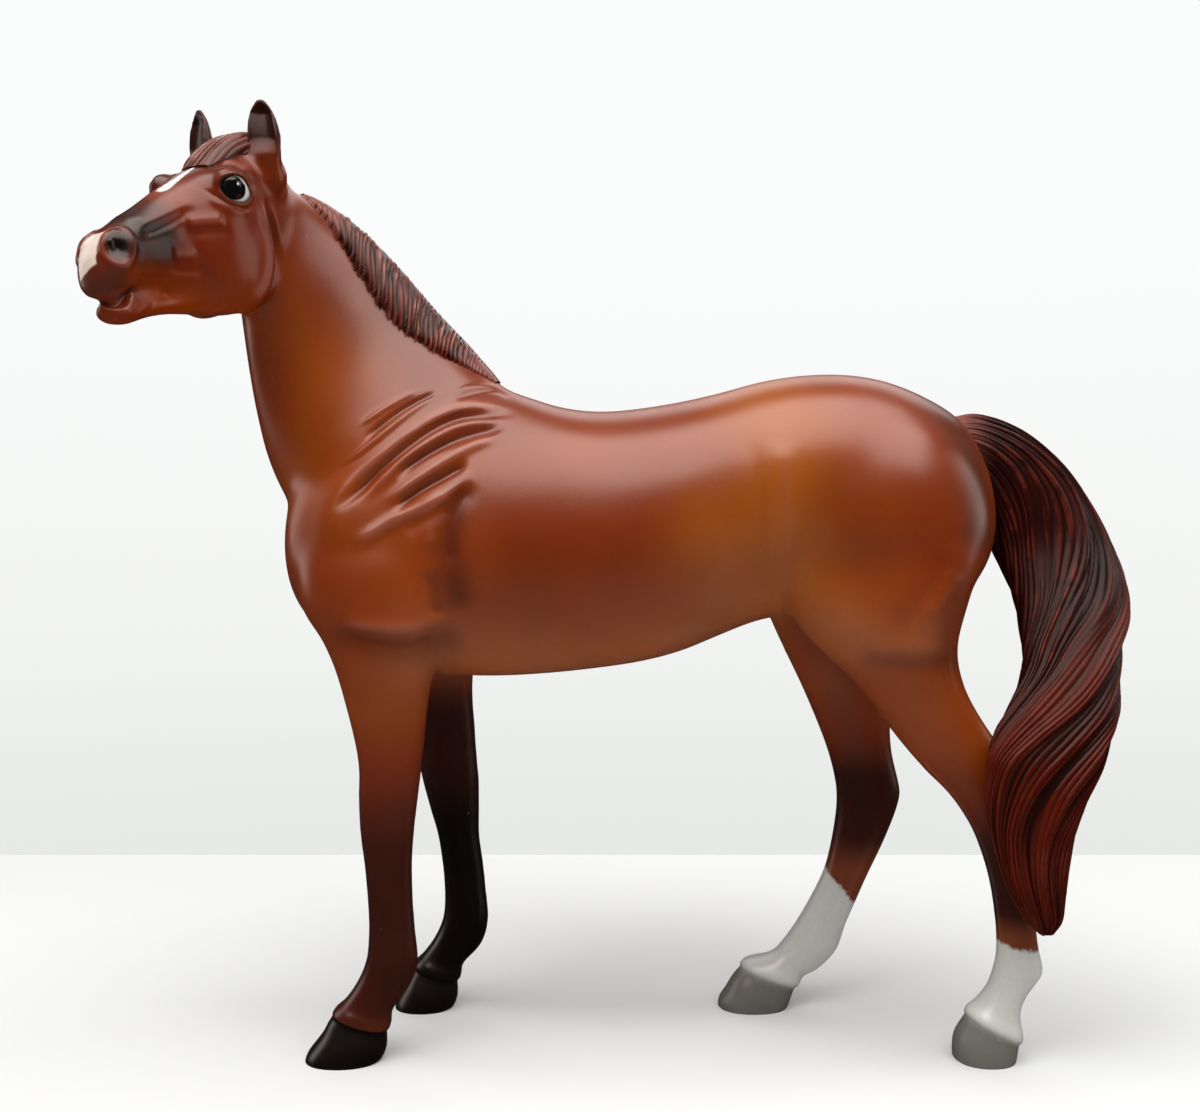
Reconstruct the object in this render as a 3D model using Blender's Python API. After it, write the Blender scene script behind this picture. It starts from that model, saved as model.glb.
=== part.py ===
# Toy horse figure, about one twelfth of life size, standing with its head turned to its left.
# Metres, +Z up. The horse faces -X and its left side is at -Y. The soles stand on z = 0.
# The trunk and the neck are hollow halves, the head is two solid halves, and the legs, tail,
# mane, forelock and ears are solid pieces that plug into them.

import math
from collections import namedtuple

import bmesh
import bpy
import numpy as np
from mathutils import Matrix, Vector

# Trunk
BODY_LENGTH = 0.1410        # chest to point of buttock
BODY_WIDTH = 0.0500         # widest part of the barrel
BODY_DEPTH = 0.0600         # girth up to the croup
BELLY_HEIGHT = 0.0733       # girth above the untrimmed hoof tips
CHEST_FORWARD = 0.0625      # chest ahead of the middle of the back
BODY_WALL = 0.0024

# Neck and head
NECK_LENGTH = 0.0600
NECK_WIDTH = 0.0380
NECK_WALL = 0.0022
HEAD_LENGTH = 0.0440
HEAD_WIDTH = 0.0180
HEAD_DEPTH = 0.0330
HEAD_TURN = math.radians(62)
EAR_HEIGHT = 0.0115
EAR_WIDTH = 0.0064
EAR_THICKNESS = 0.0038

# Legs
FORELEG_HEIGHT = 0.1000     # untrimmed hoof tip to the top of the leg inside the shoulder
FORELEG_WIDTH = 0.0190
FORE_TRACK = 0.0280         # between the middles of the fore hooves
HINDLEG_HEIGHT = 0.1000     # untrimmed hoof tip to the top of the leg inside the haunch
HINDLEG_WIDTH = 0.0244
HIND_TRACK = 0.0275
HOOF_TRIM = 0.0025          # cut off under every hoof, which leaves its flat sole

# Hair
TAIL_LENGTH = 0.0980
TAIL_THICKNESS = 0.0126
MANE_THICKNESS = 0.0024
FORELOCK_THICKNESS = 0.0024
HAIR_ROOT = 0.0012          # how far a hair piece reaches under the skin before it is trimmed

# Joints between the pieces
GAP = 0.0003
FORELEG_PEG_RADIUS = 0.0035
HINDLEG_PEG_RADIUS = 0.0040
LEG_PEG_LENGTH = 0.0080
TAIL_PEG_RADIUS = 0.0022
TAIL_PEG_LENGTH = 0.0070
EAR_PEG_RADIUS = 0.0011
EAR_PEG_LENGTH = 0.0030
HAIR_PEG_RADIUS = 0.0010
HAIR_PEG_LENGTH = 0.0028
PIN_RADIUS = 0.0013
PIN_LENGTH = 0.0030
NECK_SPIGOT_LENGTH = 0.0240
NECK_SPIGOT_WIDTH = 0.0140
NECK_SPIGOT_DEPTH = 0.0050
HEAD_SPIGOT_RADIUS = 0.0038
HEAD_SPIGOT_DEPTH = 0.0050
OVERRUN = 0.0400            # how far every cut runs past what it cuts

# Surface of the moulding
SKIN_CELL = 0.0012
SMOOTHING_STEPS = 16
SKIN_SHARE = 0.050          # share of the skin's triangles that is kept
LOFT_SIDES = 36
LOFT_STEPS = 5
CORE_SIDES = 18
TAIL_SIDES = 14
TAIL_STEPS = 2
EAR_SIDES = 12
EAR_RINGS = 8
HAIR_SIDES = 6
HAIR_STEPS = 2
WEDGE_STEPS = (1, 2, 3)     # sections by which the neck's parting surface runs on into the head
PEG_SIDES = 12
COLOUR_ALPHA = 1.0

SIDES = {"left": -1, "right": 1}

# A cross-section stands on the line from top to bottom, which are (x, z) points, at the given side.
# turn swings it round the vertical, middle is where along the line it is widest, counted from the
# bottom, and upper and lower are how square its two halves are.
Section = namedtuple("Section", "top bottom side turn half_width middle upper lower")

# along, top, bottom, width, middle, upper, lower
TRUNK_SHARES = (
    (0.006, 0.512, 0.362, 0.240, 0.50, 2.1, 2.2),
    (0.020, 0.645, 0.245, 0.500, 0.50, 2.1, 2.2),
    (0.052, 0.745, 0.145, 0.650, 0.50, 2.1, 2.2),
    (0.089, 0.828, 0.070, 0.720, 0.45, 2.1, 2.2),
    (0.145, 0.895, 0.025, 0.770, 0.45, 2.0, 2.2),
    (0.216, 0.945, 0.005, 0.820, 0.42, 1.9, 2.2),
    (0.287, 0.962, 0.000, 0.880, 0.42, 1.8, 2.2),
    (0.330, 0.938, 0.003, 0.920, 0.43, 1.9, 2.2),
    (0.387, 0.893, 0.013, 0.970, 0.45, 2.1, 2.2),
    (0.443, 0.877, 0.028, 1.000, 0.46, 2.1, 2.2),
    (0.500, 0.888, 0.048, 1.000, 0.47, 2.1, 2.2),
    (0.557, 0.910, 0.083, 0.984, 0.48, 2.1, 2.2),
    (0.613, 0.940, 0.137, 0.944, 0.50, 2.1, 2.2),
    (0.670, 0.977, 0.187, 0.908, 0.50, 2.1, 2.2),
    (0.727, 0.997, 0.203, 0.900, 0.50, 2.1, 2.2),
    (0.784, 1.000, 0.195, 0.890, 0.50, 2.1, 2.2),
    (0.840, 0.980, 0.178, 0.840, 0.50, 2.1, 2.2),
    (0.897, 0.928, 0.178, 0.740, 0.50, 2.1, 2.2),
    (0.947, 0.853, 0.245, 0.580, 0.50, 2.1, 2.2),
    (0.982, 0.720, 0.345, 0.360, 0.50, 2.1, 2.2),
    (1.000, 0.578, 0.445, 0.120, 0.50, 2.1, 2.2),
)
CORE_SHARES = (0.31, 0.69)              # the hollow's two ends along the trunk

# crest, throat, side, turn in degrees, width. Both points are counted from the withers.
WITHERS_SHARES = (0.323, 0.962)         # along the trunk, and up it
NECK_SHARES = (
    ((0.083, -0.150), (-0.583, -0.617), 0.000, 0, 1.000),
    ((-0.008, -0.025), (-0.742, -0.400), 0.000, 0, 0.870),
    ((-0.150, 0.097), (-0.810, -0.258), -0.005, 4, 0.710),
    ((-0.283, 0.217), (-0.842, -0.108), -0.020, 10, 0.580),
    ((-0.400, 0.350), (-0.855, 0.017), -0.047, 16, 0.505),
    ((-0.522, 0.475), (-0.858, 0.133), -0.083, 24, 0.463),
    ((-0.637, 0.575), (-0.858, 0.233), -0.117, 32, 0.437),
    ((-0.717, 0.633), (-0.850, 0.317), -0.150, 40, 0.400),
)
NECK_MIDDLE_SHARE = 0.45
NECK_CORE_SHARES = (0.30, 0.70)         # the hollow's two ends along the neck

# Points along the head and up it, counted from the back of the skull at the height of the jaw,
# then the width and the three roundness values.
JAW_LINE_SHARES = (-0.783, 0.167)       # from the withers to the head's own zero, in neck lengths
HEAD_SHARES = (
    ((-0.068, 0.864), (0.023, 0.333), 0.667, 0.50, 2.2, 2.2),
    ((0.045, 0.985), (0.090, 0.152), 0.800, 0.50, 2.2, 2.2),
    ((0.160, 1.010), (0.180, 0.067), 0.890, 0.55, 2.2, 2.2),
    ((0.273, 0.948), (0.295, 0.024), 0.955, 0.60, 2.3, 2.2),
    ((0.386, 0.833), (0.398, 0.012), 0.990, 0.62, 2.6, 2.2),
    ((0.500, 0.721), (0.500, 0.030), 0.820, 0.60, 2.5, 2.2),
    ((0.614, 0.606), (0.602, 0.036), 0.655, 0.56, 2.4, 2.2),
    ((0.727, 0.479), (0.705, 0.042), 0.578, 0.50, 2.4, 2.2),
    ((0.830, 0.370), (0.807, 0.015), 0.578, 0.50, 2.4, 2.2),
    ((0.898, 0.285), (0.880, -0.033), 0.544, 0.50, 2.2, 2.2),
    ((0.939, 0.212), (0.927, -0.055), 0.422, 0.50, 2.2, 2.2),
    ((0.961, 0.145), (0.950, -0.012), 0.222, 0.50, 2.2, 2.2),
)
JAW_SHARES = (
    ((0.182, 0.273), (0.182, 0.036), 0.667, 0.50, 2.2, 2.2),
    ((0.318, 0.182), (0.318, 0.000), 0.600, 0.50, 2.2, 2.2),
    ((0.455, 0.121), (0.455, -0.024), 0.467, 0.50, 2.2, 2.2),
    ((0.568, 0.061), (0.580, -0.052), 0.378, 0.50, 2.2, 2.2),
    ((0.682, 0.015), (0.693, -0.097), 0.356, 0.50, 2.2, 2.2),
    ((0.773, -0.024), (0.777, -0.148), 0.389, 0.50, 2.2, 2.2),
    ((0.841, -0.055), (0.848, -0.161), 0.378, 0.50, 2.2, 2.2),
    ((0.891, -0.073), (0.893, -0.127), 0.244, 0.50, 2.2, 2.2),
)
# Muscles and bones that swell out of the head: place along, out and up, then size the same way.
HEAD_LUMP_SHARES = {
    "cheek": ((0.295, 0.560, 0.303), (0.216, 0.460, 0.303)),
    "brow": ((0.409, 0.890, 0.690), (0.082, 0.300, 0.100)),
    "nostril": ((0.886, 0.356, 0.221), (0.055, 0.244, 0.079)),
}
# Shoulder and haunch: place along, out and up the trunk, then size the same way.
BODY_LUMP_SHARES = {
    "shoulder": ((0.120, 0.370, 0.430), (0.085, 0.440, 0.300)),
    "haunch": ((0.812, 0.390, 0.500), (0.165, 0.560, 0.380)),
}

# Legs. Front and rear points are counted from the leg's own zero, in leg heights.
FORELEG_PLACE_SHARE = 0.1525
HINDLEG_PLACE_SHARE = 0.8404
FORELEG_PROFILE_SHARES = {
    "left": (
        ((-0.170, 1.020), (0.090, 1.080)),
        ((-0.170, 0.950), (0.120, 0.980)),
        ((-0.155, 0.870), (0.135, 0.880)),
        ((-0.120, 0.820), (0.115, 0.810)),
        ((-0.092, 0.760), (0.097, 0.750)),
        ((-0.073, 0.695), (0.087, 0.690)),
        ((-0.056, 0.630), (0.081, 0.630)),
        ((-0.046, 0.575), (0.075, 0.575)),
        ((-0.046, 0.515), (0.067, 0.515)),
        ((-0.042, 0.450), (0.059, 0.450)),
        ((-0.034, 0.390), (0.055, 0.390)),
        ((-0.028, 0.320), (0.057, 0.320)),
        ((-0.026, 0.270), (0.061, 0.265)),
        ((-0.030, 0.215), (0.066, 0.200)),
        ((-0.048, 0.170), (0.047, 0.155)),
        ((-0.075, 0.132), (0.020, 0.118)),
        ((-0.103, 0.103), (0.013, 0.083)),
        ((-0.113, 0.076), (0.012, 0.058)),
        ((-0.130, 0.054), (0.006, 0.036)),
        ((-0.146, 0.030), (-0.006, 0.017)),
        ((-0.144, 0.000), (-0.020, -0.005)),
        ((-0.140, -0.020), (-0.030, -0.020)),
    ),
    "right": (
        ((-0.170, 1.020), (0.090, 1.080)),
        ((-0.170, 0.950), (0.120, 0.980)),
        ((-0.145, 0.870), (0.150, 0.880)),
        ((-0.100, 0.820), (0.150, 0.810)),
        ((-0.050, 0.760), (0.147, 0.750)),
        ((-0.010, 0.695), (0.142, 0.690)),
        ((0.010, 0.620), (0.147, 0.620)),
        ((0.024, 0.550), (0.151, 0.550)),
        ((0.035, 0.500), (0.155, 0.500)),
        ((0.052, 0.440), (0.155, 0.440)),
        ((0.068, 0.385), (0.155, 0.385)),
        ((0.078, 0.320), (0.164, 0.320)),
        ((0.082, 0.270), (0.169, 0.270)),
        ((0.080, 0.215), (0.174, 0.205)),
        ((0.062, 0.170), (0.160, 0.155)),
        ((0.036, 0.134), (0.122, 0.113)),
        ((0.012, 0.103), (0.114, 0.080)),
        ((0.000, 0.074), (0.114, 0.056)),
        ((-0.014, 0.050), (0.108, 0.034)),
        ((-0.023, 0.028), (0.098, 0.016)),
        ((-0.020, 0.000), (0.090, -0.005)),
        ((-0.015, -0.020), (0.080, -0.020)),
    ),
}
FORELEG_WIDTH_SHARES = (0.60, 0.97, 0.98, 0.86, 0.73, 0.64, 0.57, 0.53, 0.53, 0.47, 0.42,
                        0.39, 0.40, 0.45, 0.42, 0.43, 0.51, 0.57, 0.61, 0.64, 0.63, 0.62)
FORELEG_SIDE_SHARES = (0.75, 0.84, 0.92, 0.96) + (1.0,) * 18
HINDLEG_PROFILE_SHARES = {
    "left": (
        ((-0.210, 1.080), (0.160, 1.140)),
        ((-0.235, 1.000), (0.185, 1.060)),
        ((-0.220, 0.900), (0.165, 0.980)),
        ((-0.180, 0.830), (0.135, 0.880)),
        ((-0.120, 0.770), (0.114, 0.800)),
        ((-0.060, 0.710), (0.125, 0.740)),
        ((-0.005, 0.635), (0.142, 0.700)),
        ((0.050, 0.570), (0.184, 0.633)),
        ((0.100, 0.520), (0.230, 0.575)),
        ((0.138, 0.465), (0.268, 0.510)),
        ((0.160, 0.415), (0.268, 0.430)),
        ((0.176, 0.360), (0.263, 0.365)),
        ((0.186, 0.300), (0.260, 0.300)),
        ((0.191, 0.245), (0.266, 0.235)),
        ((0.188, 0.205), (0.274, 0.190)),
        ((0.173, 0.160), (0.248, 0.152)),
        ((0.150, 0.130), (0.232, 0.118)),
        ((0.128, 0.106), (0.235, 0.075)),
        ((0.110, 0.070), (0.232, 0.045)),
        ((0.106, 0.035), (0.223, 0.020)),
        ((0.112, 0.000), (0.215, -0.010)),
        ((0.116, -0.020), (0.210, -0.020)),
    ),
    "right": (
        ((-0.210, 1.080), (0.160, 1.140)),
        ((-0.235, 1.000), (0.185, 1.060)),
        ((-0.230, 0.910), (0.165, 0.980)),
        ((-0.205, 0.845), (0.130, 0.880)),
        ((-0.176, 0.780), (0.100, 0.800)),
        ((-0.140, 0.705), (0.070, 0.725)),
        ((-0.107, 0.630), (0.053, 0.640)),
        ((-0.082, 0.565), (0.054, 0.568)),
        ((-0.067, 0.510), (0.068, 0.505)),
        ((-0.061, 0.463), (0.072, 0.465)),
        ((-0.067, 0.400), (0.043, 0.385)),
        ((-0.084, 0.322), (-0.001, 0.292)),
        ((-0.107, 0.270), (-0.022, 0.244)),
        ((-0.137, 0.215), (-0.044, 0.195)),
        ((-0.167, 0.170), (-0.062, 0.145)),
        ((-0.200, 0.136), (-0.100, 0.105)),
        ((-0.245, 0.126), (-0.134, 0.088)),
        ((-0.276, 0.099), (-0.144, 0.066)),
        ((-0.296, 0.062), (-0.155, 0.044)),
        ((-0.312, 0.038), (-0.165, 0.025)),
        ((-0.310, 0.005), (-0.177, 0.000)),
        ((-0.305, -0.020), (-0.185, -0.020)),
    ),
}
HINDLEG_WIDTH_SHARES = (0.450, 0.750, 0.860, 0.860, 0.740, 0.620, 0.520, 0.440, 0.390, 0.375, 0.340,
                        0.310, 0.300, 0.330, 0.360, 0.335, 0.360, 0.430, 0.475, 0.490, 0.480, 0.475)
HINDLEG_SIDE_SHARES = (0.75, 0.86, 0.93, 0.96, 0.97, 0.97, 0.98, 0.99) + (1.0,) * 14
FORELEG_JOINT_SHARE = 0.72              # height of the flat joint, just under the girth
HINDLEG_JOINT_SHARE = 0.77
LEG_ROOM_SHARES = {"foreleg": (-0.30, 0.30), "hindleg": (-0.45, 0.40)}

# Tail: outer edge and inner edge counted from the tail head, side, thickness.
TAIL_HEAD_SHARES = (0.950, 0.878)
TAIL_SHARES = (
    ((-0.015, -0.010), (-0.036, -0.102), 0.000, 0.51),
    ((0.046, -0.006), (0.026, -0.143), 0.000, 0.67),
    ((0.132, -0.039), (0.056, -0.194), 0.000, 0.79),
    ((0.211, -0.104), (0.066, -0.240), 0.000, 0.89),
    ((0.268, -0.184), (0.069, -0.270), -0.005, 0.95),
    ((0.306, -0.269), (0.079, -0.301), -0.020, 0.98),
    ((0.318, -0.347), (0.092, -0.352), -0.046, 1.00),
    ((0.311, -0.408), (0.099, -0.403), -0.077, 0.98),
    ((0.289, -0.464), (0.095, -0.459), -0.112, 0.90),
    ((0.270, -0.520), (0.083, -0.517), -0.148, 0.79),
    ((0.255, -0.579), (0.046, -0.576), -0.184, 0.67),
    ((0.229, -0.635), (0.009, -0.627), -0.214, 0.54),
    ((0.207, -0.688), (-0.011, -0.673), -0.232, 0.46),
    ((0.172, -0.747), (-0.013, -0.735), -0.237, 0.44),
    ((0.148, -0.811), (-0.007, -0.796), -0.236, 0.41),
    ((0.136, -0.867), (0.009, -0.857), -0.234, 0.38),
    ((0.131, -0.923), (0.032, -0.918), -0.232, 0.33),
    ((0.127, -0.969), (0.062, -0.969), -0.229, 0.25),
    ((0.112, -0.997), (0.089, -0.997), -0.227, 0.14),
)

# Ear stations from its root to its tip: up, share of the lean, width, thickness.
EAR_SHARES = (
    (-0.300, 0.00, 0.440, 0.300),
    (-0.130, 0.00, 0.800, 0.720),
    (0.000, 0.00, 0.940, 1.000),
    (0.250, 0.20, 1.000, 1.000),
    (0.500, 0.45, 0.940, 0.880),
    (0.750, 0.75, 0.740, 0.640),
    (0.920, 0.95, 0.400, 0.400),
    (1.000, 1.00, 0.140, 0.160),
)
EAR_LEAN_SHARES = {"left": -0.120, "right": 0.080}      # outwards, in ear heights
# Root of each ear: along, out and up the head.
EAR_PLACE_SHARES = {"left": (0.200, 0.840, 0.880), "right": (0.230, 0.780, 0.880)}
EAR_TURN = math.radians(25)

# Hair pieces lie over a skin: share along it, thickness, and how far the hair hangs over the left
# and the right side, in degrees from the crest.
MANE_SHARES = (
    (0.960, 0.25, 16, 14),
    (0.900, 0.50, 28, 20),
    (0.800, 0.85, 40, 22),
    (0.680, 1.00, 48, 22),
    (0.560, 1.00, 50, 22),
    (0.440, 1.00, 46, 20),
    (0.330, 0.85, 36, 18),
    (0.240, 0.55, 24, 14),
    (0.190, 0.30, 14, 10),
)
FORELOCK_SHARES = (
    (0.105, 0.40, 22, 22),
    (0.150, 0.85, 30, 30),
    (0.215, 1.00, 36, 34),
    (0.280, 0.95, 34, 32),
    (0.340, 0.70, 26, 24),
    (0.390, 0.35, 14, 12),
)
HAIR_PEG_SHARES = {"mane": (0.38, 0.60, 0.80), "forelock": (0.245,)}

# Pins of the halves: along and up the trunk, the head and the neck.
BODY_PIN_SHARES = ((0.085, 0.300), (0.215, 0.640), (0.800, 0.420), (0.860, 0.800))
HEAD_PIN_SHARES = ((0.330, 0.560), (0.700, 0.220))
NECK_PIN_SHARES = ((0.19, 0.30), (0.19, 0.62))

# Plane between head and neck: where it crosses the head's middle, and how it leans back.
HEAD_JOINT_SHARES = (0.035, 0.520)
HEAD_JOINT_TURN = math.radians(53)
HEAD_JOINT_LEAN = math.radians(11)

COAT = (0.36, 0.105, 0.030)
DARK_COAT = (0.090, 0.026, 0.014)
PALE_SOCK = (0.55, 0.53, 0.50)
HAIR = (0.085, 0.022, 0.014)
FACE = (0.22, 0.058, 0.026)
PLASTIC_ROUGHNESS = 0.42
HAIR_ROUGHNESS = 0.36


def trunk_point(along, up):
    """Point of the trunk's side view, as (x, z)."""
    return (along * BODY_LENGTH - CHEST_FORWARD, BELLY_HEIGHT + up * BODY_DEPTH)


def trunk_sections():
    rows = []
    for along, top, bottom, width, middle, upper, lower in TRUNK_SHARES:
        rows.append(Section(trunk_point(along, top), trunk_point(along, bottom), 0.0, 0.0,
                            width * BODY_WIDTH / 2, middle, upper, lower))
    return rows


def neck_point(forward, up):
    withers = trunk_point(*WITHERS_SHARES)
    return (withers[0] + forward * NECK_LENGTH, withers[1] + up * NECK_LENGTH)


def neck_sections():
    rows = []
    for crest, throat, side, turn, width in NECK_SHARES:
        rows.append(Section(neck_point(*crest), neck_point(*throat), side * NECK_LENGTH,
                            math.radians(turn), width * NECK_WIDTH / 2, NECK_MIDDLE_SHARE, 1.9, 2.1))
    return rows


def head_origin():
    """The head's zero: middle of the neck's top section, at the height of the jaw."""
    x, z = neck_point(*JAW_LINE_SHARES)
    return Vector((x, neck_sections()[-1].side, z))


def head_point(along, out, up):
    """Point of the head: forward along it, out to its right side, and up."""
    forward = Vector((-math.cos(HEAD_TURN), -math.sin(HEAD_TURN), 0))
    right = Vector((-math.sin(HEAD_TURN), math.cos(HEAD_TURN), 0))
    return (head_origin() + forward * along * HEAD_LENGTH + right * out * HEAD_WIDTH / 2
            + Vector((0, 0, up * HEAD_DEPTH)))


def head_sections(shares):
    rows = []
    for top, bottom, width, middle, upper, lower in shares:
        high = head_point(top[0], 0, top[1])
        low = head_point(bottom[0], 0, bottom[1])
        rows.append(Section((high.x, high.z), (low.x, low.z), (high.y + low.y) / 2, HEAD_TURN,
                            width * HEAD_WIDTH / 2, middle, upper, lower))
    return rows


def leg_sections(profile, widths, sides, place, height, width, track, sign):
    zero = trunk_point(place, 0)[0]
    rows = []
    for (front, rear), width_share, side_share in zip(profile, widths, sides):
        rows.append(Section((zero + front[0] * height, front[1] * height),
                            (zero + rear[0] * height, rear[1] * height),
                            sign * side_share * track / 2, 0.0,
                            width_share * width / 2, 0.5, 2.2, 2.2))
    return rows


def foreleg_sections(name):
    return leg_sections(FORELEG_PROFILE_SHARES[name], FORELEG_WIDTH_SHARES, FORELEG_SIDE_SHARES,
                        FORELEG_PLACE_SHARE, FORELEG_HEIGHT, FORELEG_WIDTH, FORE_TRACK, SIDES[name])


def hindleg_sections(name):
    return leg_sections(HINDLEG_PROFILE_SHARES[name], HINDLEG_WIDTH_SHARES, HINDLEG_SIDE_SHARES,
                        HINDLEG_PLACE_SHARE, HINDLEG_HEIGHT, HINDLEG_WIDTH, HIND_TRACK, SIDES[name])


def tail_sections():
    head_x, head_z = trunk_point(*TAIL_HEAD_SHARES)
    rows = []
    for outer, inner, side, thickness in TAIL_SHARES:
        rows.append(Section((head_x + outer[0] * TAIL_LENGTH, head_z + outer[1] * TAIL_LENGTH),
                            (head_x + inner[0] * TAIL_LENGTH, head_z + inner[1] * TAIL_LENGTH),
                            side * TAIL_LENGTH, 0.0, thickness * TAIL_THICKNESS / 2, 0.5, 2.1, 2.1))
    return rows


def flat(section):
    """A section as one row of numbers, so that sections can be blended."""
    return np.array([*section.top, *section.bottom, *section[2:]])


def unflat(row):
    return Section((row[0], row[1]), (row[2], row[3]), *row[4:])


def curve_through(rows, share):
    """The row at a share of the way along a smooth curve through the given rows."""
    ends = np.vstack([2 * rows[0] - rows[1], rows, 2 * rows[-1] - rows[-2]])
    place = min(max(share, 0.0), 1.0) * (len(rows) - 1)
    first = min(int(place), len(rows) - 2)
    t = place - first
    a, b, c, d = ends[first:first + 4]
    return 0.5 * (2 * b + (c - a) * t + (2 * a - 5 * b + 4 * c - d) * t ** 2
                  + (3 * b - a - 3 * c + d) * t ** 3)


def blend(sections, first=0.0, last=1.0, steps=LOFT_STEPS):
    """Sections read off the smooth curve through the given ones, some steps from each to the next."""
    rows = np.array([flat(section) for section in sections])
    count = round((len(sections) - 1) * (last - first) * steps) + 1
    shares = np.linspace(first, last, count)
    return [unflat(curve_through(rows, share)) for share in shares]


def section_frame(section, grow=0.0):
    """Top, widest and bottom points of a section and its sideways direction, grown outwards."""
    slope = math.tan(section.turn)
    middle_x = (section.top[0] + section.bottom[0]) / 2
    top = Vector((section.top[0], section.side + (section.top[0] - middle_x) * slope, section.top[1]))
    bottom = Vector((section.bottom[0], section.side + (section.bottom[0] - middle_x) * slope,
                     section.bottom[1]))
    along = (top - bottom).normalized()
    widest = bottom.lerp(top, section.middle)
    sideways = Vector((-math.sin(section.turn), math.cos(section.turn), 0))
    return top + along * grow, widest, bottom - along * grow, sideways


def section_point(section, angle, grow=0.0):
    """Point of the outline at an angle, which runs from the right side over the top."""
    top, widest, bottom, sideways = section_frame(section, grow)
    cosine, sine = math.cos(angle), math.sin(angle)
    power = 2 / (section.upper if sine > 0 else section.lower)
    out = math.copysign(abs(cosine) ** power, cosine) * (section.half_width + grow)
    rise = abs(sine) ** power
    half = top - widest if sine > 0 else bottom - widest
    return widest + sideways * out + half * rise


def closed_skin(loops):
    """Mesh from loops of points: quads between neighbours and a face over each end."""
    bm = bmesh.new()
    rings = [[bm.verts.new(point) for point in loop] for loop in loops]
    for one, other in zip(rings, rings[1:]):
        for i in range(len(one)):
            j = (i + 1) % len(one)
            bm.faces.new((one[i], one[j], other[j], other[i]))
    bm.faces.new(rings[0])
    bm.faces.new(reversed(rings[-1]))
    bmesh.ops.recalc_face_normals(bm, faces=bm.faces)
    return bm


def add_object(name, bm):
    bmesh.ops.triangulate(bm, faces=bm.faces)
    mesh = bpy.data.meshes.new(name)
    bm.to_mesh(mesh)
    bm.free()
    obj = bpy.data.objects.new(name, mesh)
    bpy.context.scene.collection.objects.link(obj)
    return obj


def loft(name, sections, grow=0.0, sides=LOFT_SIDES):
    turns = [2 * math.pi * i / sides for i in range(sides)]
    return add_object(name, closed_skin([[section_point(section, turn, grow) for turn in turns]
                                         for section in sections]))


def lump(name, centre, size, turn=0.0):
    """A swelling: a ball stretched to its three half sizes."""
    bm = bmesh.new()
    bmesh.ops.create_uvsphere(bm, u_segments=24, v_segments=12, radius=1)
    bmesh.ops.transform(bm, verts=bm.verts, matrix=Matrix.Translation(centre)
                        @ Matrix.Rotation(turn, 4, "Z") @ Matrix.Diagonal((*size, 1)))
    return add_object(name, bm)


def rod(name, start, end, radius):
    """A round peg, pin or hole from one point to another."""
    bm = bmesh.new()
    bmesh.ops.create_cone(bm, cap_ends=True, segments=PEG_SIDES, radius1=radius, radius2=radius,
                          depth=(end - start).length)
    turn = Vector((0, 0, 1)).rotation_difference(end - start).to_matrix().to_4x4()
    bmesh.ops.transform(bm, verts=bm.verts, matrix=Matrix.Translation((start + end) / 2) @ turn)
    return add_object(name, bm)


def block(name, low, high):
    bm = bmesh.new()
    bmesh.ops.create_cube(bm, size=1)
    centre = [(a + b) / 2 for a, b in zip(low, high)]
    size = [b - a for a, b in zip(low, high)]
    bmesh.ops.transform(bm, verts=bm.verts,
                        matrix=Matrix.Translation(centre) @ Matrix.Diagonal((*size, 1)))
    return add_object(name, bm)


def half_space(name, point, normal, width):
    """A cube with one face through the point, lying on the side that the normal shows."""
    bm = bmesh.new()
    bmesh.ops.create_cube(bm, size=width)
    turn = Vector((0, 0, 1)).rotation_difference(normal).to_matrix().to_4x4()
    bmesh.ops.transform(bm, verts=bm.verts,
                        matrix=Matrix.Translation(point) @ turn @ Matrix.Translation((0, 0, width / 2)))
    return add_object(name, bm)


def apply_modifiers(obj):
    """Replace the object's mesh by what its modifiers make of it."""
    graph = bpy.context.evaluated_depsgraph_get()
    mesh = bpy.data.meshes.new_from_object(obj.evaluated_get(graph))
    obj.modifiers.clear()
    old = obj.data
    obj.data = mesh
    bpy.data.meshes.remove(old)
    return obj


def copy_of(obj, name):
    twin = bpy.data.objects.new(name, obj.data.copy())
    bpy.context.scene.collection.objects.link(twin)
    return twin


def combine(obj, others, operation):
    """Boolean of an object with others, one after the other; the others are used up."""
    for other in others:
        modifier = obj.modifiers.new(operation.lower(), "BOOLEAN")
        modifier.operation = operation
        modifier.solver = "EXACT"
        modifier.object = other
        apply_modifiers(obj)
        bpy.data.objects.remove(other)
    return obj


def cut(obj, *others):
    return combine(obj, others, "DIFFERENCE")


def keep(obj, *others):
    return combine(obj, others, "INTERSECT")


def join(obj, *others):
    return combine(obj, others, "UNION")


def flesh_weight(point):
    """How far the moulded surface is softened: fully on the trunk, little on legs and head."""
    low = (point.z - BELLY_HEIGHT / 2) / (BELLY_HEIGHT / 2)
    forward = (head_point(0, 0, 0).x - point.x) / HEAD_WIDTH
    return min(max(low, 0.15), max(0.25, 1 - max(forward, 0)), 1.0)


def add_modifier(obj, kind, **values):
    modifier = obj.modifiers.new(kind.lower(), kind)
    for name, value in values.items():
        setattr(modifier, name, value)
    return modifier


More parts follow.
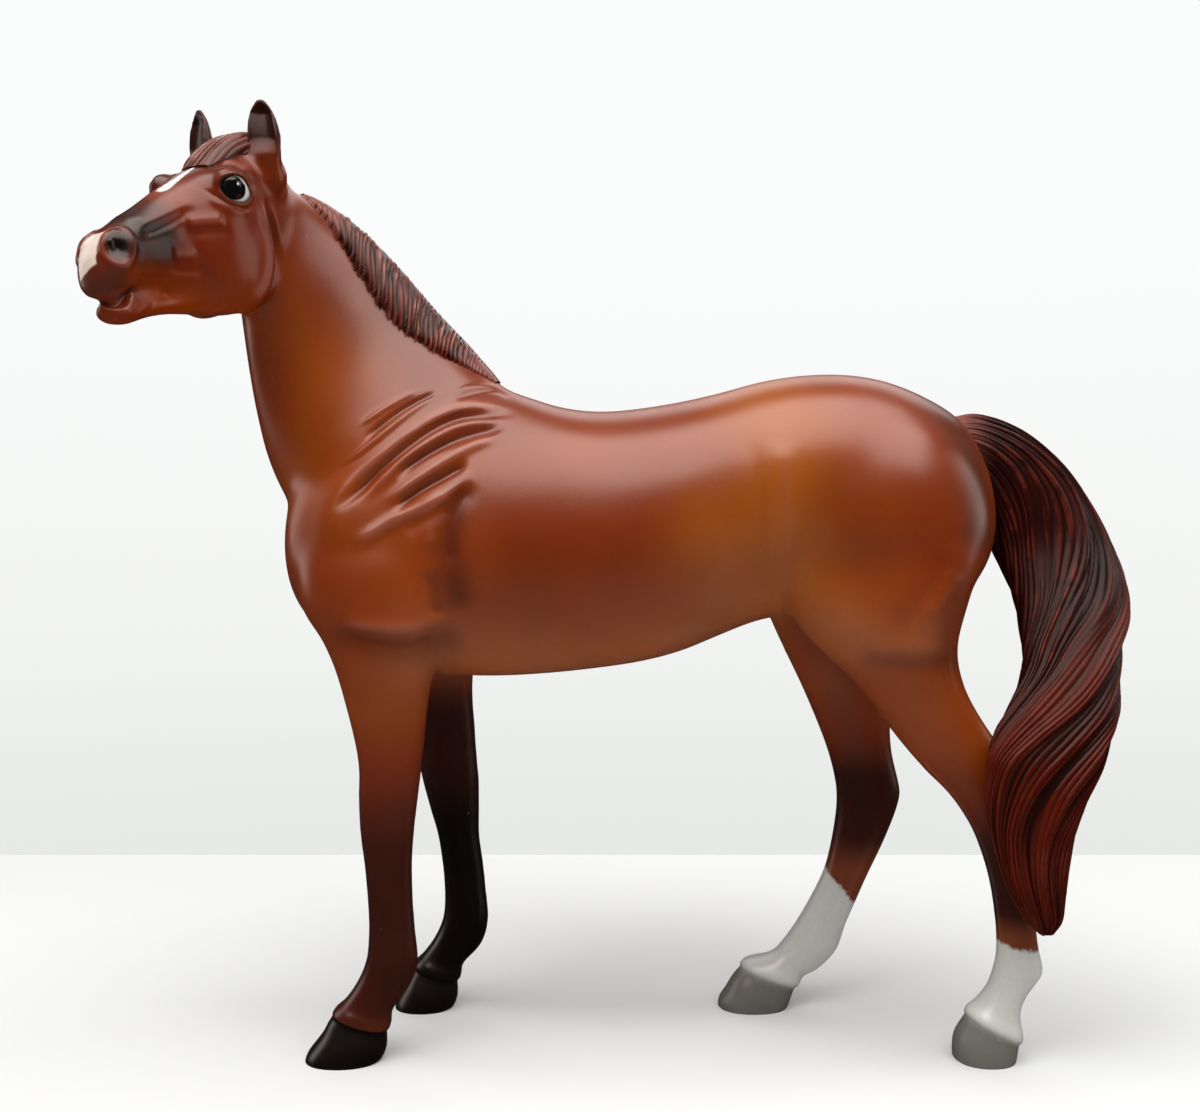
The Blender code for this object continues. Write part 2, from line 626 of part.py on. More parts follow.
def whole_skin():
    """The whole figure without hair and ears, as one closed skin."""
    parts = [loft("trunk", blend(trunk_sections())), loft("neck", blend(neck_sections())),
             loft("head", blend(head_sections(HEAD_SHARES))),
             loft("jaw", blend(head_sections(JAW_SHARES)))]
    for name, sign in SIDES.items():
        parts.append(loft("foreleg", blend(foreleg_sections(name))))
        parts.append(loft("hindleg", blend(hindleg_sections(name))))
        for place, size in HEAD_LUMP_SHARES.values():
            centre = head_point(place[0], sign * place[1], place[2])
            half = (size[0] * HEAD_LENGTH, size[1] * HEAD_WIDTH / 2, size[2] * HEAD_DEPTH)
            parts.append(lump("head_lump", centre, half, HEAD_TURN))
        for place, size in BODY_LUMP_SHARES.values():
            x, z = trunk_point(place[0], place[2])
            half = (size[0] * BODY_LENGTH, size[1] * BODY_WIDTH / 2, size[2] * BODY_DEPTH)
            parts.append(lump("body_lump", (x, sign * place[1] * BODY_WIDTH / 2, z), half))
    skin = merged("skin", parts)
    add_modifier(skin, "REMESH", mode="VOXEL", voxel_size=SKIN_CELL)
    apply_modifiers(skin)
    group = skin.vertex_groups.new(name="flesh")
    for vertex in skin.data.vertices:
        group.add([vertex.index], flesh_weight(vertex.co), "REPLACE")
    add_modifier(skin, "SMOOTH", factor=0.5, iterations=SMOOTHING_STEPS, vertex_group="flesh")
    apply_modifiers(skin)
    add_modifier(skin, "DECIMATE", ratio=SKIN_SHARE)
    apply_modifiers(skin)
    below = block("below_soles", (-BODY_LENGTH, -BODY_WIDTH, -OVERRUN),
                  (BODY_LENGTH, BODY_WIDTH, HOOF_TRIM))
    return cut(skin, below)


def merged(name, parts):
    """One object that holds the meshes of all the parts; the parts are used up."""
    bm = bmesh.new()
    for part in parts:
        bm.from_mesh(part.data)
        bpy.data.objects.remove(part)
    return add_object(name, bm)


def neck_joint():
    """Point and upward normal of the flat joint between trunk and neck."""
    top, widest, bottom, sideways = section_frame(neck_sections()[1])
    along = (top - bottom).normalized()
    return (top + bottom) / 2, along, Vector((along.z * -1, 0, along.x))


def head_joint():
    """Point of the flat joint between neck and head, and its normal towards the head."""
    flat_part = math.cos(HEAD_JOINT_LEAN)
    normal = Vector((-math.cos(HEAD_JOINT_TURN) * flat_part, -math.sin(HEAD_JOINT_TURN) * flat_part,
                     math.sin(HEAD_JOINT_LEAN)))
    return head_point(HEAD_JOINT_SHARES[0], 0, HEAD_JOINT_SHARES[1]), normal


def leg_joint(kind):
    """Height of a leg, the height of its flat joint with the trunk, and the leg's zero."""
    fore = kind == "foreleg"
    height = FORELEG_HEIGHT if fore else HINDLEG_HEIGHT
    zero = trunk_point(FORELEG_PLACE_SHARE if fore else HINDLEG_PLACE_SHARE, 0)[0]
    return height, (FORELEG_JOINT_SHARE if fore else HINDLEG_JOINT_SHARE) * height, zero


def leg_room(kind, name, clearance):
    """The box that holds one leg below its joint, lower by the clearance."""
    height, joint, zero = leg_joint(kind)
    front, rear = LEG_ROOM_SHARES[kind]
    sides = sorted((0, SIDES[name] * BODY_WIDTH))
    return block(kind, (zero + front * height, sides[0], -OVERRUN),
                 (zero + rear * height, sides[1], joint - clearance))


def leg_peg(kind, name, clearance):
    height, joint, zero = leg_joint(kind)
    fore = kind == "foreleg"
    sections = blend(foreleg_sections(name) if fore else hindleg_sections(name))
    nearest = min(sections, key=lambda s: abs((s.top[1] + s.bottom[1]) / 2 - joint))
    centre = Vector(((nearest.top[0] + nearest.bottom[0]) / 2, nearest.side, joint))
    radius = FORELEG_PEG_RADIUS if fore else HINDLEG_PEG_RADIUS
    rise = Vector((0, 0, LEG_PEG_LENGTH + clearance))
    return rod("peg", centre - rise, centre + rise, radius + clearance)


def neck_spigot(clearance):
    """The flat oval spigot under the neck, or with clearance its socket in the trunk."""
    point, along, normal = neck_joint()
    down = -normal * (NECK_SPIGOT_DEPTH + clearance)
    up = normal * NECK_SPIGOT_DEPTH
    loops = []
    for centre in (point + down, point + up):
        loop = []
        for i in range(LOFT_SIDES):
            turn = 2 * math.pi * i / LOFT_SIDES
            reach = along * math.cos(turn) * (NECK_SPIGOT_LENGTH / 2 + clearance)
            out = math.sin(turn) * (NECK_SPIGOT_WIDTH / 2 + clearance)
            loop.append(centre + reach + Vector((0, out, 0)))
        loops.append(loop)
    return add_object("neck_spigot", closed_skin(loops))


def head_spigot(clearance):
    point, normal = head_joint()
    start = point - normal * (HEAD_SPIGOT_DEPTH + clearance)
    return rod("head_spigot", start, point + normal * HEAD_SPIGOT_DEPTH, HEAD_SPIGOT_RADIUS + clearance)


def tail_peg(clearance):
    top, widest, bottom, sideways = section_frame(tail_sections()[1])
    end = Vector((widest.x - TAIL_PEG_LENGTH - clearance, 0, widest.z))
    return rod("tail_peg", end, widest + Vector((TAIL_PEG_RADIUS, 0, 0)), TAIL_PEG_RADIUS + clearance)


def ear_root(name):
    """Root of an ear and the direction from the head's middle to it."""
    along, out, up = EAR_PLACE_SHARES[name]
    root = head_point(along, SIDES[name] * out, up)
    return root, (root - head_point(along, 0, up)).normalized()


def ear_peg(name, clearance):
    root, outward = ear_root(name)
    drop = Vector((0, 0, EAR_PEG_LENGTH + clearance))
    lean = -outward * EAR_PEG_LENGTH / 2
    start = root - drop * 1.5 + lean
    return rod("ear_peg", start, root + Vector((0, 0, EAR_HEIGHT / 4)), EAR_PEG_RADIUS + clearance)


def hair_peg(sections, share, clearance):
    rows = np.array([flat(section) for section in sections])
    top, widest, bottom, sideways = section_frame(unflat(curve_through(rows, share)))
    down = (widest - top).normalized()
    return rod("hair_peg", top + down * (HAIR_PEG_LENGTH + clearance), top - down * HAIR_PEG_RADIUS,
               HAIR_PEG_RADIUS + clearance)


def hair_pegs(kind, sections, clearance):
    return [hair_peg(sections, share, clearance) for share in HAIR_PEG_SHARES[kind]]


def hair_piece(name, sections, table, thickness):
    """A layer of hair that lies over the crest of a skin, thin at its edges and ends."""
    rows = np.array([flat(section) for section in sections])
    table = np.array(table)
    loops = []
    count = (len(table) - 1) * HAIR_STEPS
    for i in range(count + 1):
        share, depth, left, right = curve_through(table, i / count)
        section = unflat(curve_through(rows, share))
        low, high = math.pi / 2 - math.radians(right), math.pi / 2 + math.radians(left)
        outer, inner = [], []
        for step in range(HAIR_SIDES + 1):
            turn = low + (high - low) * step / HAIR_SIDES
            swell = math.sin(math.pi * (step + 0.5) / (HAIR_SIDES + 1)) ** 0.5
            outer.append(section_point(section, turn, thickness * depth * swell))
            inner.append(section_point(section, turn, -HAIR_ROOT))
        loops.append(outer + inner[::-1])
    return add_object(name, closed_skin(loops))


def parting_wedge(sign):
    """Everything on one side of the neck's middle surface, out past the skin."""
    rows = [flat(section) for section in blend(neck_sections(), steps=2)]
    beyond = [rows[-1] + (rows[-1] - rows[-2]) * step for step in WEDGE_STEPS]
    loops = []
    for section in map(unflat, rows + beyond):
        top, widest, bottom, sideways = section_frame(section, section.half_width)
        near = sideways * sign * GAP / 2
        far = sideways * sign * (section.half_width * 1.3 + BODY_WALL)
        loops.append([top + near, top + far, bottom + far, bottom + near])
    return add_object("parting_wedge", closed_skin(loops))


def finish(obj, colour, roughness):
    """Keep the piece's one body, give it its own material and round shading."""
    bm = bmesh.new()
    bm.from_mesh(obj.data)
    bmesh.ops.remove_doubles(bm, verts=bm.verts, dist=GAP / 1000)
    bmesh.ops.dissolve_degenerate(bm, edges=bm.edges, dist=GAP / 1000)
    bmesh.ops.triangulate(bm, faces=bm.faces)
    drop_fins(bm)
    drop_crumbs(bm)
    slits = bmesh.ops.holes_fill(bm, edges=[edge for edge in bm.edges if edge.is_boundary])
    bmesh.ops.triangulate(bm, faces=slits["faces"])
    bm.to_mesh(obj.data)
    bm.free()
    obj.data.name = obj.name
    obj.data.materials.clear()
    obj.data.materials.append(plastic(obj.name, colour, roughness))
    obj.data.shade_smooth()
    obj.data.set_sharp_from_angle(angle=math.radians(40))
    return obj


def drop_fins(bm):
    """Remove pairs of faces that lie back to back on the same corners."""
    by_corners = {}
    for face in bm.faces:
        by_corners.setdefault(frozenset(face.verts), []).append(face)
    fins = [face for faces in by_corners.values() if len(faces) > 1 for face in faces]
    bmesh.ops.delete(bm, geom=fins, context="FACES")


def drop_crumbs(bm):
    """Remove the loose slivers that a cut leaves beside the piece itself."""
    bodies, seen = [], set()
    for start in bm.verts:
        if start in seen:
            continue
        body, front = [], [start]
        seen.add(start)
        while front:
            vertex = front.pop()
            body.append(vertex)
            for edge in vertex.link_edges:
                other = edge.other_vert(vertex)
                if other not in seen:
                    seen.add(other)
                    front.append(other)
        bodies.append(body)
    bodies.sort(key=len)
    for body in bodies[:-1]:
        bmesh.ops.delete(bm, geom=body, context="VERTS")


def plastic(name, colour, roughness):
    material = bpy.data.materials.new(name)
    material.use_nodes = True
    shader = material.node_tree.nodes["Principled BSDF"]
    shader.inputs["Base Color"].default_value = (*colour, COLOUR_ALPHA)
    shader.inputs["Roughness"].default_value = roughness
    shader.inputs["Metallic"].default_value = 0.0
    return material


def pin_halves(left, right, pins):
    """Pins stand on the left half and enter holes in the right half."""
    for point, direction in pins:
        reach = direction * PIN_LENGTH
        spare = direction * GAP
        join(left, rod("pin", point - reach, point + reach, PIN_RADIUS))
        cut(right, rod("pin_hole", point - reach, point + reach + spare, PIN_RADIUS + GAP))


def build_trunk(skin):
    trunk = copy_of(skin, "trunk")
    point, along, normal = neck_joint()
    cut(trunk, half_space("above_neck_joint", point, normal, BODY_LENGTH + OVERRUN))
    for name, sign in SIDES.items():
        for kind in ("foreleg", "hindleg"):
            cut(trunk, leg_room(kind, name, 0.0))
            cut(trunk, leg_peg(kind, name, GAP))
    core = blend(trunk_sections(), *CORE_SHARES, steps=2)
    cut(trunk, loft("core", core, -BODY_WALL, CORE_SIDES))
    cut(trunk, neck_spigot(GAP), tail_peg(GAP))
    halves = {}
    for name, sign in SIDES.items():
        half = copy_of(trunk, "body_shell_" + name)
        edges = sorted((sign * GAP / 2, sign * BODY_WIDTH))
        keep(half, block("side", (-BODY_LENGTH, edges[0], -OVERRUN),
                         (BODY_LENGTH, edges[1], BELLY_HEIGHT + BODY_DEPTH + OVERRUN)))
        halves[name] = half
    bpy.data.objects.remove(trunk)
    pins = []
    for along_share, up_share in BODY_PIN_SHARES:
        x, z = trunk_point(along_share, up_share)
        pins.append((Vector((x, 0, z)), Vector((0, 1, 0))))
    pin_halves(halves["left"], halves["right"], pins)
    for half in halves.values():
        finish(half, COAT, PLASTIC_ROUGHNESS)
    return list(halves.values())


def build_neck(skin):
    neck = copy_of(skin, "neck")
    point, along, normal = neck_joint()
    keep(neck, half_space("above_neck_joint", point + normal * GAP, normal, BODY_LENGTH + OVERRUN))
    join(neck, neck_spigot(0.0))
    end, forward = head_joint()
    cut(neck, half_space("beyond_head_joint", end, forward, BODY_LENGTH))
    core = blend(neck_sections(), *NECK_CORE_SHARES, steps=2)
    cut(neck, loft("core", core, -NECK_WALL, CORE_SIDES))
    cut(neck, head_spigot(GAP), *hair_pegs("mane", neck_sections(), GAP))
    halves = {}
    for name, sign in SIDES.items():
        half = copy_of(neck, "neck_shell_" + name)
        halves[name] = keep(half, parting_wedge(sign))
    bpy.data.objects.remove(neck)
    pins = []
    rows = np.array([flat(section) for section in neck_sections()])
    for along_share, up_share in NECK_PIN_SHARES:
        top, widest, bottom, sideways = section_frame(unflat(curve_through(rows, along_share)))
        pins.append((bottom.lerp(top, up_share), sideways))
    pin_halves(halves["left"], halves["right"], pins)
    for half in halves.values():
        finish(half, COAT, PLASTIC_ROUGHNESS)
    return list(halves.values())


def build_head(skin):
    head = copy_of(skin, "head")
    end, forward = head_joint()
    keep(head, half_space("beyond_head_joint", end + forward * GAP, forward, BODY_LENGTH))
    join(head, head_spigot(0.0))
    cut(head, *hair_pegs("forelock", head_sections(HEAD_SHARES), GAP))
    cut(head, *[ear_peg(name, GAP) for name in SIDES])
    right_hand = head_point(0, 1, 0) - head_point(0, 0, 0)
    right_hand.normalize()
    halves = {}
    for name, sign in SIDES.items():
        half = copy_of(head, "head_shell_" + name)
        start = head_point(0.5, 0, 0.5) + right_hand * sign * GAP / 2
        halves[name] = keep(half, half_space("side", start, right_hand * sign, BODY_LENGTH))
    bpy.data.objects.remove(head)
    pins = [(head_point(along, 0, up), right_hand) for along, up in HEAD_PIN_SHARES]
    pin_halves(halves["left"], halves["right"], pins)
    for half in halves.values():
        finish(half, FACE, PLASTIC_ROUGHNESS)
    return list(halves.values())


def build_leg(skin, kind, name):
    leg = copy_of(skin, kind + "_" + name)
    keep(leg, leg_room(kind, name, GAP))
    join(leg, leg_peg(kind, name, 0.0))
    return finish(leg, DARK_COAT if kind == "foreleg" else PALE_SOCK, PLASTIC_ROUGHNESS)


def build_tail(room):
    tail = loft("tail", blend(tail_sections(), steps=TAIL_STEPS), sides=TAIL_SIDES)
    cut(tail, copy_of(room, "room"))
    join(tail, tail_peg(0.0))
    return finish(tail, HAIR, HAIR_ROUGHNESS)


def ear_leaf(name, clearance):
    """The leaf of an ear without its peg, grown by the clearance."""
    root, outward = ear_root(name)
    turn = Matrix.Rotation(HEAD_TURN - SIDES[name] * EAR_TURN, 3, "Z")
    rows = np.array(EAR_SHARES)
    loops = []
    for i in range(EAR_RINGS + 1):
        up, lean, width, thickness = curve_through(rows, i / EAR_RINGS)
        centre = (root + Vector((0, 0, up * EAR_HEIGHT))
                  + outward * lean * EAR_LEAN_SHARES[name] * EAR_HEIGHT)
        loop = []
        for step in range(EAR_SIDES):
            angle = 2 * math.pi * step / EAR_SIDES
            scoop = 1 - 0.55 * max(0.0, -math.cos(angle)) ** 4
            across = Vector((math.cos(angle) * (thickness * EAR_THICKNESS / 2 * scoop + clearance),
                             math.sin(angle) * (width * EAR_WIDTH / 2 + clearance), 0))
            loop.append(centre + turn @ across)
        loops.append(loop)
    return add_object("ear_" + name, closed_skin(loops))


def build_ear(room, name):
    ear = ear_leaf(name, 0.0)
    cut(ear, copy_of(room, "room"))
    join(ear, ear_peg(name, 0.0))
    return finish(ear, DARK_COAT, PLASTIC_ROUGHNESS)


def build_hair(room, kind, sections, table, thickness):
    piece = hair_piece(kind, sections, table, thickness)
    cut(piece, copy_of(room, "room"), *[ear_leaf(name, GAP) for name in SIDES])
    join(piece, *hair_pegs(kind, sections, 0.0))
    return finish(piece, HAIR, HAIR_ROUGHNESS)


def stand_on_origin(pieces):
    """Parent all pieces to one empty that puts the middle of their box over the origin."""
    corners = [vertex.co for piece in pieces for vertex in piece.data.vertices]
    low = [min(corner[axis] for corner in corners) for axis in range(3)]
    high = [max(corner[axis] for corner in corners) for axis in range(3)]
    stand = bpy.data.objects.new("stand", None)
    bpy.context.scene.collection.objects.link(stand)
    stand.location = (-(low[0] + high[0]) / 2, -(low[1] + high[1]) / 2, -low[2])
    for piece in pieces:
        piece.parent = stand


def main():
    for obj in list(bpy.data.objects):
        bpy.data.objects.remove(obj)
    skin = whole_skin()
    room = copy_of(skin, "room")
    add_modifier(room, "DISPLACE", strength=GAP, mid_level=0.0)
    apply_modifiers(room)
    pieces = build_trunk(skin) + build_neck(skin) + build_head(skin)
    for kind in ("foreleg", "hindleg"):
        for name in SIDES:
            pieces.append(build_leg(skin, kind, name))
    pieces.append(build_tail(room))
    pieces += [build_ear(room, name) for name in SIDES]
    pieces.append(build_hair(room, "mane", neck_sections(), MANE_SHARES, MANE_THICKNESS))
    pieces.append(build_hair(room, "forelock", head_sections(HEAD_SHARES), FORELOCK_SHARES,
                             FORELOCK_THICKNESS))
    for helper in (skin, room):
        bpy.data.objects.remove(helper)
    stand_on_origin(pieces)


main()
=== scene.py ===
import math
from collections import namedtuple

import bmesh
import bpy
import numpy as np
from mathutils import Matrix, Vector


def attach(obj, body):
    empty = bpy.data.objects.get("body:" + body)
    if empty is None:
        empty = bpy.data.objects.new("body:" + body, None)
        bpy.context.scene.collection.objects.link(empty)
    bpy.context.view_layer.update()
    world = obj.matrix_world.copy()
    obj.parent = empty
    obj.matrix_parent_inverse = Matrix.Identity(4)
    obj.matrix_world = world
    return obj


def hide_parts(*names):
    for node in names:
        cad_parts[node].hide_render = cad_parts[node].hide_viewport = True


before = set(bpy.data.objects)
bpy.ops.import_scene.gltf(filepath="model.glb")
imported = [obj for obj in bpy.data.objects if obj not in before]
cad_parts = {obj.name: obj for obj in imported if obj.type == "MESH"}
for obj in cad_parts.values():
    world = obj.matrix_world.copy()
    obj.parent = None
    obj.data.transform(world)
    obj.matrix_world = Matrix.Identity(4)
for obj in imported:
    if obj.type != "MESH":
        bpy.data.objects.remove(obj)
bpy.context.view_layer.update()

# The looks of the toy horse. Shapes follow the same sizes as the solids, in metres and in the
# figure's own frame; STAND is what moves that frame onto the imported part. Relief and paint are
# placed in millimetres of the figure's own frame.
STAND = np.array((-0.007833298, 0.010970322, -0.0025))

BODY_LENGTH = 0.1410
BODY_WIDTH = 0.0500
BODY_DEPTH = 0.0600
BELLY_HEIGHT = 0.0733
CHEST_FORWARD = 0.0625
NECK_LENGTH = 0.0600
NECK_WIDTH = 0.0380
HEAD_LENGTH = 0.0440
HEAD_WIDTH = 0.0180
HEAD_DEPTH = 0.0330
HEAD_TURN = math.radians(62)
EAR_HEIGHT = 0.0115
EAR_WIDTH = 0.0064
EAR_THICKNESS = 0.0038
FORELEG_HEIGHT = 0.1000
FORELEG_WIDTH = 0.0190
FORE_TRACK = 0.0280
HINDLEG_HEIGHT = 0.1000
HINDLEG_WIDTH = 0.0244
HIND_TRACK = 0.0275
HOOF_TRIM = 0.0025
TAIL_LENGTH = 0.0980
TAIL_THICKNESS = 0.0126
MANE_THICKNESS = 0.0024
FORELOCK_THICKNESS = 0.0024

CELL = 0.0004      # size of one face of the fine skin
LOFT_SIDES = 72
LOFT_STEPS = 8
SIDES = {"left": -1, "right": 1}

Section = namedtuple("Section", "top bottom side turn half_width middle upper lower")

TRUNK_SHARES = (
    (0.006, 0.512, 0.362, 0.240, 0.50, 2.1, 2.2), (0.020, 0.645, 0.245, 0.500, 0.50, 2.1, 2.2),
    (0.052, 0.745, 0.145, 0.650, 0.50, 2.1, 2.2), (0.089, 0.828, 0.070, 0.720, 0.45, 2.1, 2.2),
    (0.145, 0.895, 0.025, 0.770, 0.45, 2.0, 2.2), (0.216, 0.945, 0.005, 0.820, 0.42, 1.9, 2.2),
    (0.287, 0.962, 0.000, 0.880, 0.42, 1.8, 2.2), (0.330, 0.938, 0.003, 0.920, 0.43, 1.9, 2.2),
    (0.387, 0.893, 0.013, 0.970, 0.45, 2.1, 2.2), (0.443, 0.877, 0.028, 1.000, 0.46, 2.1, 2.2),
    (0.500, 0.888, 0.048, 1.000, 0.47, 2.1, 2.2), (0.557, 0.910, 0.083, 0.984, 0.48, 2.1, 2.2),
    (0.613, 0.940, 0.137, 0.944, 0.50, 2.1, 2.2), (0.670, 0.977, 0.187, 0.908, 0.50, 2.1, 2.2),
    (0.727, 0.997, 0.203, 0.900, 0.50, 2.1, 2.2), (0.784, 1.000, 0.195, 0.890, 0.50, 2.1, 2.2),
    (0.840, 0.980, 0.178, 0.840, 0.50, 2.1, 2.2), (0.897, 0.928, 0.178, 0.740, 0.50, 2.1, 2.2),
    (0.947, 0.853, 0.245, 0.580, 0.50, 2.1, 2.2), (0.982, 0.720, 0.345, 0.360, 0.50, 2.1, 2.2),
    (1.000, 0.578, 0.445, 0.120, 0.50, 2.1, 2.2),
)
WITHERS_SHARES = (0.323, 0.962)
NECK_SHARES = (
    ((0.083, -0.150), (-0.583, -0.617), 0.000, 0, 1.000),
    ((-0.008, -0.025), (-0.742, -0.400), 0.000, 0, 0.870),
    ((-0.150, 0.097), (-0.810, -0.258), -0.005, 4, 0.710),
    ((-0.283, 0.217), (-0.842, -0.108), -0.020, 10, 0.580),
    ((-0.400, 0.350), (-0.855, 0.017), -0.047, 16, 0.505),
    ((-0.522, 0.475), (-0.858, 0.133), -0.083, 24, 0.463),
    ((-0.637, 0.575), (-0.858, 0.233), -0.117, 32, 0.437),
    ((-0.717, 0.633), (-0.850, 0.317), -0.150, 40, 0.400),
)
JAW_LINE_SHARES = (-0.783, 0.167)
HEAD_SHARES = (
    ((-0.068, 0.864), (0.023, 0.333), 0.667, 0.50, 2.2, 2.2),
    ((0.045, 0.985), (0.090, 0.152), 0.800, 0.50, 2.2, 2.2),
    ((0.160, 1.010), (0.180, 0.067), 0.890, 0.55, 2.2, 2.2),
    ((0.273, 0.948), (0.295, 0.024), 0.955, 0.60, 2.3, 2.2),
    ((0.386, 0.833), (0.398, 0.012), 0.990, 0.62, 2.6, 2.2),
    ((0.500, 0.721), (0.500, 0.030), 0.820, 0.60, 2.5, 2.2),
    ((0.614, 0.606), (0.602, 0.036), 0.655, 0.56, 2.4, 2.2),
    ((0.727, 0.479), (0.705, 0.042), 0.578, 0.50, 2.4, 2.2),
    ((0.830, 0.370), (0.807, 0.015), 0.578, 0.50, 2.4, 2.2),
    ((0.898, 0.285), (0.880, -0.033), 0.544, 0.50, 2.2, 2.2),
    ((0.939, 0.212), (0.927, -0.055), 0.422, 0.50, 2.2, 2.2),
    ((0.961, 0.145), (0.950, -0.012), 0.222, 0.50, 2.2, 2.2),
)
JAW_SHARES = (
    ((0.182, 0.273), (0.182, 0.036), 0.667, 0.50, 2.2, 2.2),
    ((0.318, 0.182), (0.318, 0.000), 0.600, 0.50, 2.2, 2.2),
    ((0.455, 0.121), (0.455, -0.024), 0.467, 0.50, 2.2, 2.2),
    ((0.568, 0.061), (0.580, -0.052), 0.378, 0.50, 2.2, 2.2),
    ((0.682, 0.015), (0.693, -0.097), 0.356, 0.50, 2.2, 2.2),
    ((0.773, -0.024), (0.777, -0.148), 0.389, 0.50, 2.2, 2.2),
    ((0.841, -0.055), (0.848, -0.161), 0.378, 0.50, 2.2, 2.2),
    ((0.891, -0.073), (0.893, -0.127), 0.244, 0.50, 2.2, 2.2),
)
HEAD_LUMP_SHARES = {
    "cheek": ((0.295, 0.560, 0.303), (0.216, 0.460, 0.303)),
    "brow": ((0.409, 0.890, 0.690), (0.082, 0.300, 0.100)),
    "nostril": ((0.886, 0.356, 0.221), (0.055, 0.244, 0.079)),
}
EAR_BACK_SHARES = ((0.150, 0.780, 0.800), (0.075, 0.330, 0.110))
MOUTH_SHARES = (
    ((0.800, 0.000, -0.068), (0.100, 0.300, 0.055)), ((0.730, 0.000, 0.010), (0.120, 0.300, 0.085)),
)
BODY_LUMP_SHARES = {
    "shoulder": ((0.120, 0.370, 0.430), (0.085, 0.440, 0.300)),
    "haunch": ((0.812, 0.390, 0.500), (0.165, 0.560, 0.380)),
}
FORELEG_PLACE_SHARE = 0.1525
HINDLEG_PLACE_SHARE = 0.8404
FORELEG_PROFILE_SHARES = {
    "left": (
        ((-0.170, 1.020), (0.090, 1.080)), ((-0.170, 0.950), (0.120, 0.980)),
        ((-0.155, 0.870), (0.135, 0.880)), ((-0.120, 0.820), (0.115, 0.810)),
        ((-0.092, 0.760), (0.097, 0.750)), ((-0.073, 0.695), (0.087, 0.690)),
        ((-0.056, 0.630), (0.081, 0.630)), ((-0.046, 0.575), (0.075, 0.575)),
        ((-0.046, 0.515), (0.067, 0.515)), ((-0.042, 0.450), (0.059, 0.450)),
        ((-0.034, 0.390), (0.055, 0.390)), ((-0.028, 0.320), (0.057, 0.320)),
        ((-0.026, 0.270), (0.061, 0.265)), ((-0.030, 0.215), (0.066, 0.200)),
        ((-0.048, 0.170), (0.047, 0.155)), ((-0.075, 0.132), (0.020, 0.118)),
        ((-0.103, 0.103), (0.013, 0.083)), ((-0.113, 0.076), (0.012, 0.058)),
        ((-0.130, 0.054), (0.006, 0.036)), ((-0.146, 0.030), (-0.006, 0.017)),
        ((-0.144, 0.000), (-0.020, -0.005)), ((-0.140, -0.020), (-0.030, -0.020)),
    ),
    "right": (
        ((-0.170, 1.020), (0.090, 1.080)), ((-0.170, 0.950), (0.120, 0.980)),
        ((-0.145, 0.870), (0.150, 0.880)), ((-0.100, 0.820), (0.150, 0.810)),
        ((-0.050, 0.760), (0.147, 0.750)), ((-0.010, 0.695), (0.142, 0.690)),
        ((0.010, 0.620), (0.147, 0.620)), ((0.024, 0.550), (0.151, 0.550)),
        ((0.035, 0.500), (0.155, 0.500)), ((0.052, 0.440), (0.155, 0.440)),
        ((0.068, 0.385), (0.155, 0.385)), ((0.078, 0.320), (0.164, 0.320)),
        ((0.082, 0.270), (0.169, 0.270)), ((0.080, 0.215), (0.174, 0.205)),
        ((0.062, 0.170), (0.160, 0.155)), ((0.036, 0.134), (0.122, 0.113)),
        ((0.012, 0.103), (0.114, 0.080)), ((0.000, 0.074), (0.114, 0.056)),
        ((-0.014, 0.050), (0.108, 0.034)), ((-0.023, 0.028), (0.098, 0.016)),
        ((-0.020, 0.000), (0.090, -0.005)), ((-0.015, -0.020), (0.080, -0.020)),
    ),
}
FORELEG_WIDTH_SHARES = (0.60, 0.97, 0.98, 0.86, 0.73, 0.64, 0.57, 0.53, 0.53, 0.47, 0.42,
                        0.39, 0.40, 0.45, 0.42, 0.43, 0.51, 0.57, 0.61, 0.64, 0.63, 0.62)
FORELEG_SIDE_SHARES = (0.75, 0.84, 0.92, 0.96) + (1.0,) * 18
